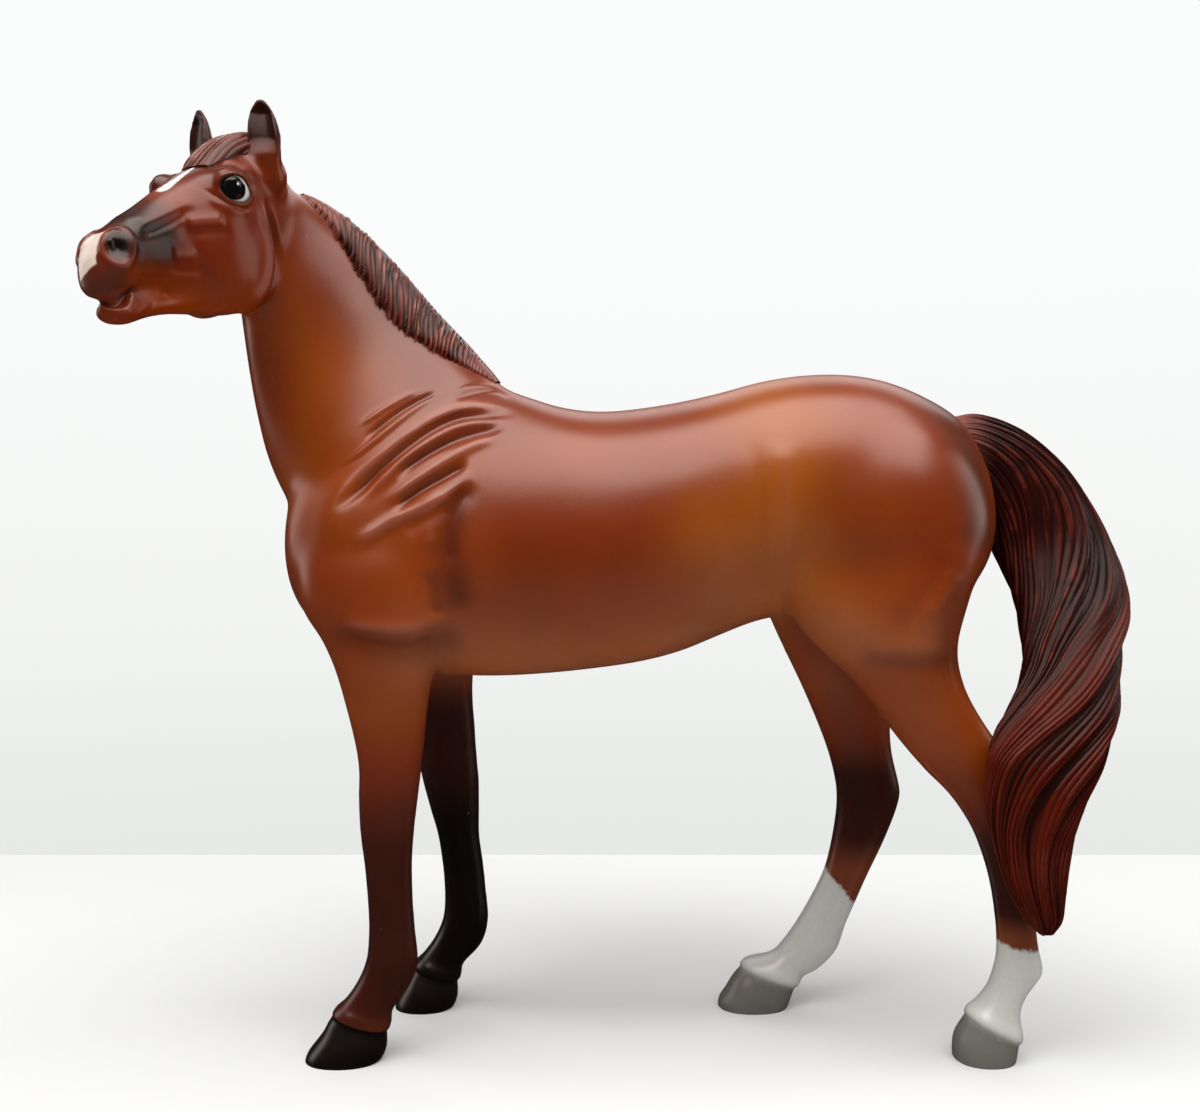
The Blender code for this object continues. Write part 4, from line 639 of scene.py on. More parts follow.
def ear_leaf(name):
    along, out, up = EAR_PLACE_SHARES[name]
    root = head_point(along, SIDES[name] * out, up)
    outward = (root - head_point(along, 0, up)).normalized()
    turn = Matrix.Rotation(HEAD_TURN - SIDES[name] * EAR_TURNS[name], 3, "Z")
    rows = np.array(EAR_SHARES)
    loops = []
    for i in range(EAR_STEPS + 1):
        up, lean, width, thickness = curve_through(rows, i / EAR_STEPS)
        centre = (root + Vector((0, 0, up * EAR_HEIGHT))
                  + outward * lean * EAR_LEAN_SHARES[name] * EAR_HEIGHT)
        loop = []
        for step in range(EAR_SIDES):
            angle = 2 * math.pi * step / EAR_SIDES
            across = Vector((math.cos(angle) * thickness * EAR_THICKNESS / 2,
                             math.sin(angle) * width * EAR_WIDTH / 2, 0))
            loop.append(centre + turn @ across)
        loops.append(loop)
    return closed_skin(loops)


def flesh_weight(points):
    """How far the skin is softened at each point, as in the solids."""
    low = (points[:, 2] - BELLY_HEIGHT / 2) / (BELLY_HEIGHT / 2)
    forward = (head_point(0, 0, 0).x - points[:, 0]) / HEAD_WIDTH
    weight = np.maximum(low, 0.15)
    weight = np.minimum(weight, np.maximum(0.25, 1 - np.maximum(forward, 0)))
    for name in SIDES:
        rise, near = ear_rise(points, name)
        weight = np.where(near, np.minimum(weight, 0.25 - 0.22 * smoothstep(0.1, 0.4, rise)), weight)
    return np.minimum(weight, 1.0)


def ear_rise(points, name):
    """How far up an ear points are, in ear heights, and whether they are near enough to be of it."""
    along, out, up = EAR_PLACE_SHARES[name]
    off = points - np.array(head_point(along, SIDES[name] * out, up))
    return off[:, 2] / EAR_HEIGHT, np.linalg.norm(off[:, :2], axis=1) < 0.75 * EAR_WIDTH


def whole_skin():
    """The figure without hair, as one fine closed skin. Gives points and four-cornered faces."""
    bm = bmesh.new()
    add_loft(bm, blend(trunk_sections()))
    add_loft(bm, blend(neck_sections()))
    add_loft(bm, blend(head_sections(HEAD_SHARES)))
    add_loft(bm, blend(head_sections(JAW_SHARES)))
    for name, sign in SIDES.items():
        add_loft(bm, blend(foreleg_sections(name)))
        add_loft(bm, blend(hindleg_sections(name)))
        add_to(bm, ear_leaf(name))
        for place, size in (*HEAD_LUMP_SHARES.values(), EAR_BACK_SHARES):
            add_head_lump(bm, place, size, sign)
        for place, size in BODY_LUMP_SHARES.values():
            x, z = trunk_point(place[0], place[2])
            half = (size[0] * BODY_LENGTH, size[1] * BODY_WIDTH / 2, size[2] * BODY_DEPTH)
            add_lump(bm, (x, sign * place[1] * BODY_WIDTH / 2, z), half)
    for place, size in MOUTH_SHARES:
        add_head_lump(bm, place, size, 1)
    mesh = bpy.data.meshes.new("skin")
    bm.to_mesh(mesh)
    bm.free()
    skin = bpy.data.objects.new("skin", mesh)
    bpy.context.scene.collection.objects.link(skin)
    modifier = skin.modifiers.new("remesh", "REMESH")
    modifier.mode = "VOXEL"
    modifier.voxel_size = CELL
    apply_modifiers(skin)
    points, faces = read_mesh(skin.data)
    bpy.data.objects.remove(skin)
    return points, faces


def read_mesh(mesh):
    points = np.empty(len(mesh.vertices) * 3, np.float32)
    mesh.vertices.foreach_get("co", points)
    corners = np.empty(len(mesh.loops), np.int32)
    mesh.loops.foreach_get("vertex_index", corners)
    return points.reshape(-1, 3).astype(np.float64), corners.reshape(-1, 4)


class Net:
    """Neighbours of each point of a mesh of four-cornered faces, for smoothing in numpy."""

    def __init__(self, count, faces):
        pairs = np.concatenate([faces[:, [i, (i + 1) % 4]] for i in range(4)])
        pairs = np.unique(np.sort(pairs, axis=1), axis=0)
        self.a = np.concatenate([pairs[:, 0], pairs[:, 1]])
        self.b = np.concatenate([pairs[:, 1], pairs[:, 0]])
        order = np.argsort(self.a, kind="stable")
        self.a, self.b = self.a[order], self.b[order]
        self.count = np.bincount(self.a, minlength=count).astype(np.float64)
        self.starts = np.concatenate([[0], np.cumsum(self.count.astype(np.int64))[:-1]])

    def mean(self, values):
        total = np.add.reduceat(values[self.b], self.starts, axis=0)
        return total / (self.count[:, None] if values.ndim > 1 else self.count)

    def smooth(self, values, weight, steps):
        for step in range(steps):
            values = values + (self.mean(values) - values) * weight
        return values


def normals_of(points, faces):
    one = points[faces[:, 2]] - points[faces[:, 0]]
    two = points[faces[:, 3]] - points[faces[:, 1]]
    face = np.cross(one, two)
    total = np.zeros_like(points)
    for i in range(4):
        for axis in range(3):
            total[:, axis] += np.bincount(faces[:, i], face[:, axis], len(points))
    return total / np.maximum(np.linalg.norm(total, axis=1), 1e-12)[:, None]


# Cutting the skin into the pieces that the toy is assembled from

def neck_joint():
    top, widest, bottom, sideways = section_frame(neck_sections()[1])
    along = (top - bottom).normalized()
    return np.array((top + bottom) / 2), np.array((-along.z, 0, along.x))


def head_joint():
    flat_part = math.cos(HEAD_JOINT_LEAN)
    normal = (-math.cos(HEAD_JOINT_TURN) * flat_part, -math.sin(HEAD_JOINT_TURN) * flat_part,
              math.sin(HEAD_JOINT_LEAN))
    return np.array(head_point(HEAD_JOINT_SHARES[0], 0, HEAD_JOINT_SHARES[1])), np.array(normal)


def head_middle():
    across = head_point(0, 1, 0) - head_point(0, 0, 0)
    return np.array(head_point(0.5, 0, 0.5)), np.array(across.normalized())


def side_of(places, point, normal):
    return (places - np.array(point)) @ np.array(normal)


def neck_side(places):
    """Distance to the right of the neck's middle surface, which turns with the neck, and which way."""
    best = np.full(len(places), np.inf)
    side = np.zeros(len(places))
    outward = np.zeros((len(places), 3))
    for section in blend(neck_sections(), 4):
        top, widest, bottom, sideways = section_frame(section)
        across = (top - bottom).normalized().cross(sideways)
        off = np.abs(side_of(places, widest, across))
        nearer = off < best
        best[nearer] = off[nearer]
        side[nearer] = side_of(places[nearer], widest, sideways)
        outward[nearer] = sideways
    return side, outward


def leg_part(places, kind, name):
    fore = kind == "foreleg"
    height = FORELEG_HEIGHT if fore else HINDLEG_HEIGHT
    joint = (FORELEG_JOINT_SHARE if fore else HINDLEG_JOINT_SHARE) * height
    zero = trunk_point(FORELEG_PLACE_SHARE if fore else HINDLEG_PLACE_SHARE, 0)[0]
    front, rear = LEG_ROOM_SHARES[kind]
    x, y, z = places.T
    return ((x > zero + front * height) & (x < zero + rear * height) & (z < joint)
            & (y * SIDES[name] > 0))


def ear_part(places, name):
    rise, near = ear_rise(places, name)
    return (rise > EAR_FOOT) & near


def name_faces(points, faces):
    """The name of the piece that each face of the skin belongs to."""
    places = points[faces].mean(axis=1)
    names = np.where(places[:, 1] > 0, "body_shell_right", "body_shell_left").astype("U20")
    above = side_of(places, *neck_joint()) > 0
    names[above] = np.where(neck_side(places[above])[0] > 0, "neck_shell_right", "neck_shell_left")
    beyond = (side_of(places, *head_joint()) > 0) & above
    right_side = side_of(places, *head_middle()) > 0
    names[beyond & right_side] = "head_shell_right"
    names[beyond & ~right_side] = "head_shell_left"
    for name in SIDES:
        names[beyond & ear_part(places, name)] = "ear_" + name
        for kind in ("foreleg", "hindleg"):
            names[leg_part(places, kind, name)] = kind + "_" + name
    return names


def trim_soles(points, faces):
    """Drop what is under the floor and level the rest, open at the soles."""
    keep = (points[faces][:, :, 2] > HOOF_TRIM).any(axis=1)
    points = points.copy()
    points[:, 2] = np.maximum(points[:, 2], HOOF_TRIM)
    return points, faces[keep]


def sole_loops(points, faces):
    """The rings of open edges on the floor, each turned so that its face looks down."""
    sides = np.concatenate([faces[:, [i, (i + 1) % 4]] for i in range(4)])
    sides = sides[(points[sides][:, :, 2] <= HOOF_TRIM).all(axis=1)]
    pairs = {(int(a), int(b)) for a, b in sides}
    following = {b: a for a, b in pairs if (b, a) not in pairs}
    loops = []
    while following:
        start, point = following.popitem()
        loop = [start]
        while point != start and point in following:
            loop.append(point)
            point = following.pop(point)
        if point == start and len(loop) > 8:
            loops.append(loop)
    return loops


def joint_step(points, pair):
    """How far points are from the joint between two pieces, as vectors."""
    kinds = {name.rsplit("_", 1)[0] for name in pair}
    if kinds == {"neck_shell"}:
        side, across = neck_side(points)
        return side[:, None] * across
    if "ear" in kinds:
        name = [name for name in pair if name.startswith("ear")][0].rsplit("_", 1)[1]
        along, out, up = EAR_PLACE_SHARES[name]
        root = np.array(head_point(along, SIDES[name] * out, up))
        plane = (root + np.array((0, 0, EAR_FOOT * EAR_HEIGHT)), (0, 0, 1))
    elif kinds & {"foreleg", "hindleg"}:
        fore = "foreleg" in kinds
        height = FORELEG_JOINT_SHARE * FORELEG_HEIGHT if fore else HINDLEG_JOINT_SHARE * HINDLEG_HEIGHT
        plane = ((0, 0, height), (0, 0, 1))
    elif kinds == {"body_shell"}:
        plane = ((0, 0, 0), (0, 1, 0))
    elif kinds == {"head_shell"}:
        plane = head_middle()
    elif "body_shell" in kinds:
        plane = neck_joint()
    else:
        plane = head_joint()
    return side_of(points, *plane)[:, None] * np.array(plane[1])


def snap_joints(points, faces, names):
    """Bring the points that two pieces share onto the joint between them."""
    kinds, codes = np.unique(names, return_inverse=True)
    low = np.full(len(points), len(kinds))
    high = np.full(len(points), -1)
    for corner in range(4):
        np.minimum.at(low, faces[:, corner], codes)
        np.maximum.at(high, faces[:, corner], codes)
    points = points.copy()
    for one, other in {(a, b) for a, b in zip(low, high) if a < b < len(kinds)}:
        shared = np.flatnonzero((low == one) & (high == other))
        step = joint_step(points[shared], (str(kinds[one]), str(kinds[other])))
        near = np.linalg.norm(step, axis=1) < 1.2 * CELL
        points[shared[near]] -= step[near]
    return points


def add_piece(name, points, faces, material, slot, nodes, normals=None, caps=(), **values):
    """One visible piece from the points that its faces use, with a value of each kind per point."""
    used, inverse = np.unique(faces, return_inverse=True)
    mesh = bpy.data.meshes.new(name)
    ends = [np.searchsorted(used, loop).tolist() for loop in caps]
    mesh.from_pydata(points[used] + STAND, [], inverse.reshape(faces.shape).tolist() + ends)
    mesh.polygons.foreach_set("use_smooth", np.ones(len(mesh.polygons), bool))
    for kind, amounts in values.items():
        colour = amounts.ndim > 1
        attribute = mesh.attributes.new(kind, "FLOAT_COLOR" if colour else "FLOAT", "POINT")
        amounts = amounts[used]
        if colour:
            amounts = np.column_stack([amounts, np.ones(len(amounts))])
        attribute.data.foreach_set("color" if colour else "value", amounts.ravel().astype(np.float32))
    if normals is not None:
        mesh.normals_split_custom_set_from_vertices(normals[used])
    mesh.materials.append(material)
    piece = bpy.data.objects.new(name, mesh)
    bpy.context.scene.collection.objects.link(piece)
    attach(piece, "root")
    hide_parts(*nodes)
    return piece


# Relief and paint in numpy

def smoothstep(low, high, values):
    share = np.clip((values - low) / (high - low), 0, 1)
    return share * share * (3 - 2 * share)


def smooth_line(points, steps=6):
    rows = np.array(points, float)
    if len(rows) < 3:
        return rows
    return np.array([curve_through(rows, share)
                     for share in np.linspace(0, 1, (len(rows) - 1) * steps + 1)])


def reach(places, line):
    """How far each place is from a line, and its share of the way along the line."""
    best = np.full(len(places), np.inf)
    share = np.zeros(len(places))
    spans = np.linalg.norm(np.diff(line, axis=0), axis=1)
    starts = np.concatenate([[0], np.cumsum(spans)])
    for start, end, span, before in zip(line, line[1:], spans, starts):
        along = np.clip((places - start) @ (end - start) / span ** 2, 0, 1)
        off = np.linalg.norm(places - start - along[:, None] * (end - start), axis=1)
        nearer = off < best
        best[nearer] = off[nearer]
        share[nearer] = (before + along[nearer] * span) / starts[-1]
    return best, share


def near_line(places, line, margin):
    low, high = line.min(axis=0) - margin, line.max(axis=0) + margin
    return np.flatnonzero(((places > low) & (places < high)).all(axis=1))


def fold_height(places, strokes):
    """Height in millimetres of soft ridges and grooves at places of a side view."""
    height = np.zeros(len(places))
    for rise, width, *points in strokes:
        line = smooth_line(points)
        near = near_line(places, line, 3 * width)
        off, share = reach(places[near], line)
        fade = smoothstep(0, 0.22, np.minimum(share, 1 - share) + 0.02)
        height[near] += rise * fade * np.exp(-(off / width) ** 2)
    return height


def airbrush(colours, places, strokes, weight):
    """Lay soft strokes of pigment over colours, in their order."""
    for pigment, strength, width, *points in strokes:
        line = smooth_line(points)
        near = near_line(places, line, 2.6 * width)
        off, share = reach(places[near], line)
        cover = strength * weight[near] * np.exp(-(off / width) ** 2)
        colours[near] += (np.array(pigment) - colours[near]) * cover[:, None]
    return colours


def tint(colours, pigment, cover):
    return colours + (np.array(pigment) - colours) * cover[:, None]


def below_line(places, line):
    """How far in millimetres places of a side view lie under a line that runs from front to rear."""
    (x0, z0), (x1, z1) = line
    length = math.hypot(x1 - x0, z1 - z0)
    return ((places[:, 0] - x0) * (z1 - z0) - (places[:, 1] - z0) * (x1 - x0)) / length


def leg_weights(points):
    """Which points belong to each leg below the trunk."""
    masks = {}
    for kind in ("foreleg", "hindleg"):
        for name in SIDES:
            masks[kind + "_" + name] = leg_part(points, kind, name)
    return masks


def hoof_height(side_view, masks):
    """The hoof stands back under the coronet and flares again towards the sole."""
    height = np.zeros(len(side_view))
    for leg, line in HOOF_LINES.items():
        depth = below_line(side_view, line)
        hoof = -0.45 * smoothstep(-0.15, 0.35, depth) * (1 - 0.8 * smoothstep(0.5, 5.0, depth))
        band = 0.25 * np.exp(-((depth + 1.2) / 1.1) ** 2)
        height[masks[leg]] += (hoof + band)[masks[leg]]
    return height


def head_axes():
    """Which way the head faces, and its right."""
    return (np.array((-math.cos(HEAD_TURN), -math.sin(HEAD_TURN), 0)),
            np.array((-math.sin(HEAD_TURN), math.cos(HEAD_TURN), 0)))


def head_places(points):
    """Points as along, out to the right and up in millimetres of the head, its roll taken out."""
    zero = np.array(head_point(0, 0, 0))
    forward, right = head_axes()
    along, out = (points - zero) @ forward / MM, (points - zero) @ right / MM
    return np.column_stack([along, out, points[:, 2] / MM - HEAD_ROLL * out])


def head_directions(normals):
    """How far normals face along the head, and to its right."""
    forward, right = head_axes()
    return normals @ forward, normals @ right


def polygon_inside(places, corners):
    """Signed distance to a closed outline, positive inside."""
    corners = np.array(corners, float)
    best = np.full(len(places), np.inf)
    inside = np.zeros(len(places), bool)
    for start, end in zip(corners, np.roll(corners, -1, axis=0)):
        along = np.clip((places - start) @ (end - start) / ((end - start) @ (end - start)), 0, 1)
        best = np.minimum(best, np.linalg.norm(places - start - along[:, None] * (end - start), axis=1))
        crosses = (start[1] > places[:, 1]) != (end[1] > places[:, 1])
        rise = np.where(crosses, (places[:, 1] - start[1]) / (end[1] - start[1] or 1), 0)
        inside ^= crosses & (places[:, 0] < start[0] + rise * (end[0] - start[0]))
    return np.where(inside, best, -best)


def eye_places(places):
    """Places as along and across each eye's opening, from its middle."""
    along, out, up = EYE_CENTRE
    over = (places[:, 0] - along) * EYE_SLANT[0] + (np.abs(places[:, 1]) - out) * EYE_SLANT[1]
    return over, places[:, 2] - up, np.abs(places[:, 1]) > 0.55 * out


def eye_opening(places):
    """From 0 in the middle of an eye to 1 at the edges of its lids and more outside."""
    over, up, near = eye_places(places)
    reach_out = (np.abs(over) / EYE_HALF[0]) ** 2.1 + (np.abs(up) / EYE_HALF[1]) ** 1.7
    return np.where(near, reach_out, 99.0)


def sculpt_head(points, normals):
    places = head_places(points)
    forward, right = head_directions(normals)
    outward = right * np.sign(places[:, 1])
    side_view = places[:, [0, 2]]
    height = fold_height(side_view, HEAD_FOLDS) * smoothstep(-0.25, 0.25, outward)
    relief = height
    eye = eye_opening(places)
    upper = smoothstep(-0.8, 0.8, eye_places(places)[1])
    height = height + (0.12 + 0.16 * upper) * np.exp(-((eye - 1.45) / 0.35) ** 2)
    height = height + 0.30 * smoothstep(1.0, 0.2, eye) - 0.24 * np.exp(-((eye - 1.0) / 0.14) ** 2)
    centre, half = NOSTRIL
    mirrored = np.column_stack([places[:, 0], np.abs(places[:, 1]), places[:, 2]])
    hole = np.linalg.norm((mirrored - centre) / half, axis=1)
    height = height - 1.25 * smoothstep(1.0, 0.25, hole) + 0.35 * np.exp(-((hole - 1.35) / 0.3) ** 2)
    lower = np.linalg.norm(mirrored - NOSTRIL_LIP, axis=1)
    height = height + 0.40 * np.exp(-(lower / 1.3) ** 2)
    points = points + normals * (height * MM)[:, None]
    for name in SIDES:
        points = scoop_ear(points, normals, name)
    return points, relief


def ear_axes(name):
    """An ear's root, the way its back faces, and the way across it."""
    along, out, up = EAR_PLACE_SHARES[name]
    root = np.array(head_point(along, SIDES[name] * out, up))
    turn = HEAD_TURN - SIDES[name] * EAR_TURNS[name]
    back = np.array((math.cos(turn), math.sin(turn), 0))
    across = np.array((-math.sin(turn), math.cos(turn), 0))
    return root, back, across


def scoop_ear(points, normals, name):
    """Hollow out the front of an ear between its two edges."""
    root, back, across = ear_axes(name)
    rise = (points[:, 2] - root[2]) / EAR_HEIGHT
    outward = np.array(head_point(0, SIDES[name], 0) - head_point(0, 0, 0)) / (HEAD_WIDTH / 2)
    lean = np.clip(rise, 0, 1)[:, None] * EAR_LEAN_SHARES[name] * EAR_HEIGHT * outward
    off = points - root - lean
    half_width = 0.42 * EAR_WIDTH * np.interp(rise, (0, 0.3, 0.75, 1), (1.0, 1.0, 0.78, 0.3))
    place = (off @ across) / half_width
    mine = ear_part(points, name) | ((np.abs(off @ across) < 0.6 * EAR_WIDTH) & (rise > -0.1)
                                     & (np.linalg.norm(off[:, :2], axis=1) < 0.6 * EAR_WIDTH))
    depth = np.maximum(1 - place ** 2, 0) * smoothstep(0.02, 0.35, rise) * smoothstep(1.0, 0.72, rise)
    facing = smoothstep(0.0, 0.5, normals @ -back)
    return points + back * (EAR_HOLLOW * depth * facing * mine)[:, None]


def head_paint(points, normals, colours):
    """Face colours, and how far points lie inside the eyes, star and snip, in millimetres."""
    places = head_places(points)
    forward, right = head_directions(normals)
    outward = right * np.sign(places[:, 1])
    weight = smoothstep(2.0, 8.0, places[:, 0]) * smoothstep(135.0, 137.0, places[:, 2])
    colours = airbrush(colours, places[:, [0, 2]], FACE_STROKES, weight)
    for name in SIDES:
        root, back, across = ear_axes(name)
        rise, near = ear_rise(points, name)
        cover = (smoothstep(-0.25, 0.45, rise) * near)[:, None]
        inside = smoothstep(-0.3, 0.6, normals @ -back)[:, None]
        shade = np.array(MAROON) * 0.35 * (1 - inside) + np.array(UMBER) * 0.50 * inside
        colours = colours + (shade - colours) * cover
    eye = eye_opening(places)
    colours = tint(colours, UMBER, 0.85 * np.exp(-((eye - 1.15) / 0.22) ** 2))
    # Painted shade over the far eye's brow, on the far side of the head only
    far_brow_shade = smoothstep(1.0, 4.0, places[:, 1]) * smoothstep(158.0, 162.0, places[:, 2])
    colours = tint(colours, UMBER, 0.7 * far_brow_shade * smoothstep(12.0, 16.0, places[:, 0]))
    over, up, near = eye_places(places)
    iris = IRIS[2] - np.hypot((over - IRIS[0]) / IRIS[1], up)
    glint = 0.24 - np.hypot(over - 0.3, up - 0.75)
    lift = np.where(near, 0, -9)
    off, share = reach(places[:, :2], smooth_line(STAR_LINE))
    top = (normals[:, 2] > 0.2) & (places[:, 2] > 154)
    star = np.where(top, 1.25 - 0.8 * share - off, -9.0)
    front = (places[:, 0] > 33) & (forward > 0.05)
    snip = np.where(front, polygon_inside(places[:, [1, 2]], SNIP), -9.0)
    centre, half = NOSTRIL
    mirrored = np.column_stack([places[:, 0], np.abs(places[:, 1]), places[:, 2]])
    nostril = 1.0 - np.linalg.norm((mirrored - centre) / half, axis=1)
    return colours, {"eye": (1.0 - eye) * 1.2, "iris": iris + lift, "glint": glint + lift, "star": star,
                     "snip": snip, "nostril": nostril}


def refine(points, faces):
    """Split every four-cornered face in four. Gives points, faces and which points are on the edge."""
    sides = np.concatenate([faces[:, [i, (i + 1) % 4]] for i in range(4)])
    pairs, inverse, counts = np.unique(np.sort(sides, axis=1), axis=0, return_inverse=True,
                                       return_counts=True)
    inverse = inverse.ravel()
    middles = points[pairs].mean(axis=1)
    centres = points[faces].mean(axis=1)
    first_middle, first_centre = len(points), len(points) + len(middles)
    middle = first_middle + inverse.reshape(4, -1).T
    centre = first_centre + np.arange(len(faces))
    parts = [np.column_stack([faces[:, i], middle[:, i], centre, middle[:, (i - 1) % 4]])
             for i in range(4)]
    edge = np.zeros(first_centre + len(faces), bool)
    open_pairs = counts == 1
    edge[pairs[open_pairs].ravel()] = True
    edge[first_middle + np.flatnonzero(open_pairs)] = True
    return np.vstack([points, middles, centres]), np.vstack(parts), edge


def carve(points, normals):
    side_view = points[:, [0, 2]] / MM
    outward = normals[:, 1] * np.sign(points[:, 1])
    weight = smoothstep(0.10, 0.45, outward)
    height = fold_height(side_view, BODY_FOLDS) * weight
    relief = height.copy()
    height += hoof_height(side_view, leg_weights(points)) * smoothstep(-0.2, 0.3, 1 - abs(normals[:, 2]))
    places = head_places(points)
    turned = head_directions(normals)[1] * np.sign(places[:, 1])
    cheek = smoothstep(0.0, 0.5, turned) * (places[:, 2] > 137)
    height += fold_height(places[:, [0, 2]], CHEEK_FOLDS) * cheek
    return points + normals * (height * MM)[:, None], relief


def mix_shades(heights, shades):
    table = sorted(shades)
    levels = [level for level, pigment in table]
    return np.stack([np.interp(heights, levels, [pigment[i] for level, pigment in table])
                     for i in range(3)], axis=1)


def skin_paint(points, normals):
    """Colour of every point of the skin, and how far it lies inside the hooves and the socks."""
    side_view = points[:, [0, 2]] / MM
    colours = np.tile(np.array(BROWN), (len(points), 1))
    outward = normals[:, 1] * np.sign(points[:, 1])
    colours = airbrush(colours, side_view, AIRBRUSH, smoothstep(-0.9, -0.1, outward))
    hoof = np.full(len(points), -9.0)
    sock = np.full(len(points), -9.0)
    for leg, mask in leg_weights(points + np.array((0, 0, -0.006))).items():
        shade = mix_shades(side_view[mask, 1], LEG_SHADES[leg])
        top = FORELEG_JOINT_SHARE * FORELEG_HEIGHT if leg.startswith("fore") else \
            HINDLEG_JOINT_SHARE * HINDLEG_HEIGHT
        cover = smoothstep(top / MM + 5, top / MM - 8, side_view[mask, 1])[:, None]
        colours[mask] += (shade - colours[mask]) * cover
        hoof[mask] = below_line(side_view[mask], HOOF_LINES[leg])
        if leg in SOCK_LINES:
            sock[mask] = below_line(side_view[mask], SOCK_LINES[leg])
    return colours, hoof, sock


def hollows(points, normals, net, cell):
    """How hollow the skin is at each point, in curvature per millimetre; ridges are negative."""
    gap = ((net.mean(points) - points) * normals).sum(axis=1)
    return net.smooth(4 * gap / cell ** 2 * MM, 0.5, 3)


# Hair

def hash_share(index, seed):
    """An even, repeatable number from 0 to 1 for each strand."""
    value = np.sin(index * 12.9898 + seed * 78.233) * 43758.5453
    return value - np.floor(value)


def strand_height(across, along, seed):
    """Rounded strands side by side with sharp grooves between them, from -1 to about 1."""
    index = np.floor(across)
    share = across - index
    ridge = 1 - np.abs(2 * share - 1) ** 2.4
    swell = 0.75 + 0.25 * np.sin(2 * math.pi * (along * (1 + 2 * hash_share(index, seed))
                                                + hash_share(index, seed + 1)))
    lift = 0.45 * np.sin(2 * math.pi * (along * (0.7 + hash_share(index, seed + 2))
                                        + hash_share(index, seed + 3)))
    return ridge * swell + lift * ridge - 0.5


def grid_faces(rows, columns):
    """Faces of a tube of rings: each ring's last column is joined to its first."""
    i, j = np.meshgrid(np.arange(rows - 1), np.arange(columns), indexing="ij")
    k = (j + 1) % columns
    corners = (i * columns + j, i * columns + k, (i + 1) * columns + k, (i + 1) * columns + j)
    return np.stack([c.ravel() for c in corners], axis=1)


def end_caps(rows, columns):
    """The two faces that close such a tube."""
    last = (rows - 1) * columns
    return [list(range(columns)), list(range(last, last + columns))[::-1]]


def ring_normals(grid):
    around = np.roll(grid, -1, axis=1) - np.roll(grid, 1, axis=1)
    along = np.gradient(grid, axis=0)
    normal = np.cross(around, along)
    return normal / np.maximum(np.linalg.norm(normal, axis=2), 1e-12)[:, :, None]


def tail_shape():
    """The tail: locks that leave the dock along it, sweep across and wrap round it to the tip."""
    rows_each, columns = ((14, 340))
    sections = blend(tail_sections(), rows_each)
    turns = np.arange(columns) / columns
    grid = np.array([[section_point(section, 2 * math.pi * turn) for turn in turns]
                     for section in sections])
    along = np.linspace(0, 1, len(sections))[:, None]
    around = turns[None, :]
    twist = TAIL_TWIST * smoothstep(0.12, 0.88, along)
    phase = around - twist
    phase = phase + 0.012 * np.sin(2 * math.pi * (2 * phase + 2.3 * along + 0.2))
    phase = phase + 0.006 * np.sin(2 * math.pi * (5 * phase - 3.1 * along))
    locks = strand_height(phase * TAIL_LOCKS % TAIL_LOCKS, along, 1)
    sway = 0.25 * np.sin(2 * math.pi * (3 * along + phase * 4))
    fine = strand_height((phase * TAIL_STRANDS + sway) % TAIL_STRANDS, along, 5)
    sway = 0.5 * np.sin(2 * math.pi * (2 * along + phase * 9))
    hairs = strand_height((phase * TAIL_HAIRS + sway) % TAIL_HAIRS, along, 9)
    fade = smoothstep(0, 0.08, along) * (1 - 0.5 * smoothstep(0.93, 1.0, along))
    parting = np.sin(2 * math.pi * (phase - TAIL_PARTING))
    seam = np.exp(-(parting / 0.16) ** 2)
    relief = (0.40 * locks + 0.38 * fine + 0.10 * hairs - 0.55 * seam) * fade * MM
    grid = grid + ring_normals(grid) * relief[:, :, None]
    # The depth value gives painted shade in the grooves and at the parting where the locks meet, and a
    # painted highlight on the strands' backs
    depth = (0.35 * locks + 0.75 * fine + 0.35 * hairs - 0.5 * seam).ravel()
    red = np.maximum(smoothstep(0.15, -0.15, parting) * smoothstep(0.10, 0.35, along),
                     0.9 * smoothstep(0.50, 0.62, along))
    ends = np.repeat(smoothstep(0.09, 0.0, along[:, 0]), columns)
    return (grid.reshape(-1, 3), grid_faces(len(sections), columns), end_caps(len(sections), columns),
            depth, red.ravel(), ends)


def mane_flow(points, crest, share, down):
    """Strands fall from the crest and go back as they fall, more so at the poll."""
    drop = crest[:, None, 2] - points[:, :, 2]
    lean = MANE_LEAN[0] + (MANE_LEAN[1] - MANE_LEAN[0]) * share
    hook = MANE_HOOK * share ** 2 * drop ** 2 / MM
    return (points[:, :, 0] - drop * lean - hook) / MM / MANE_PITCH


def forelock_flow(points, crest, share, down):
    """Strands run forward over the forehead and spread to both sides."""
    return down / MM / FORELOCK_PITCH * (1.15 - 0.45 * share) + 1.1 * share


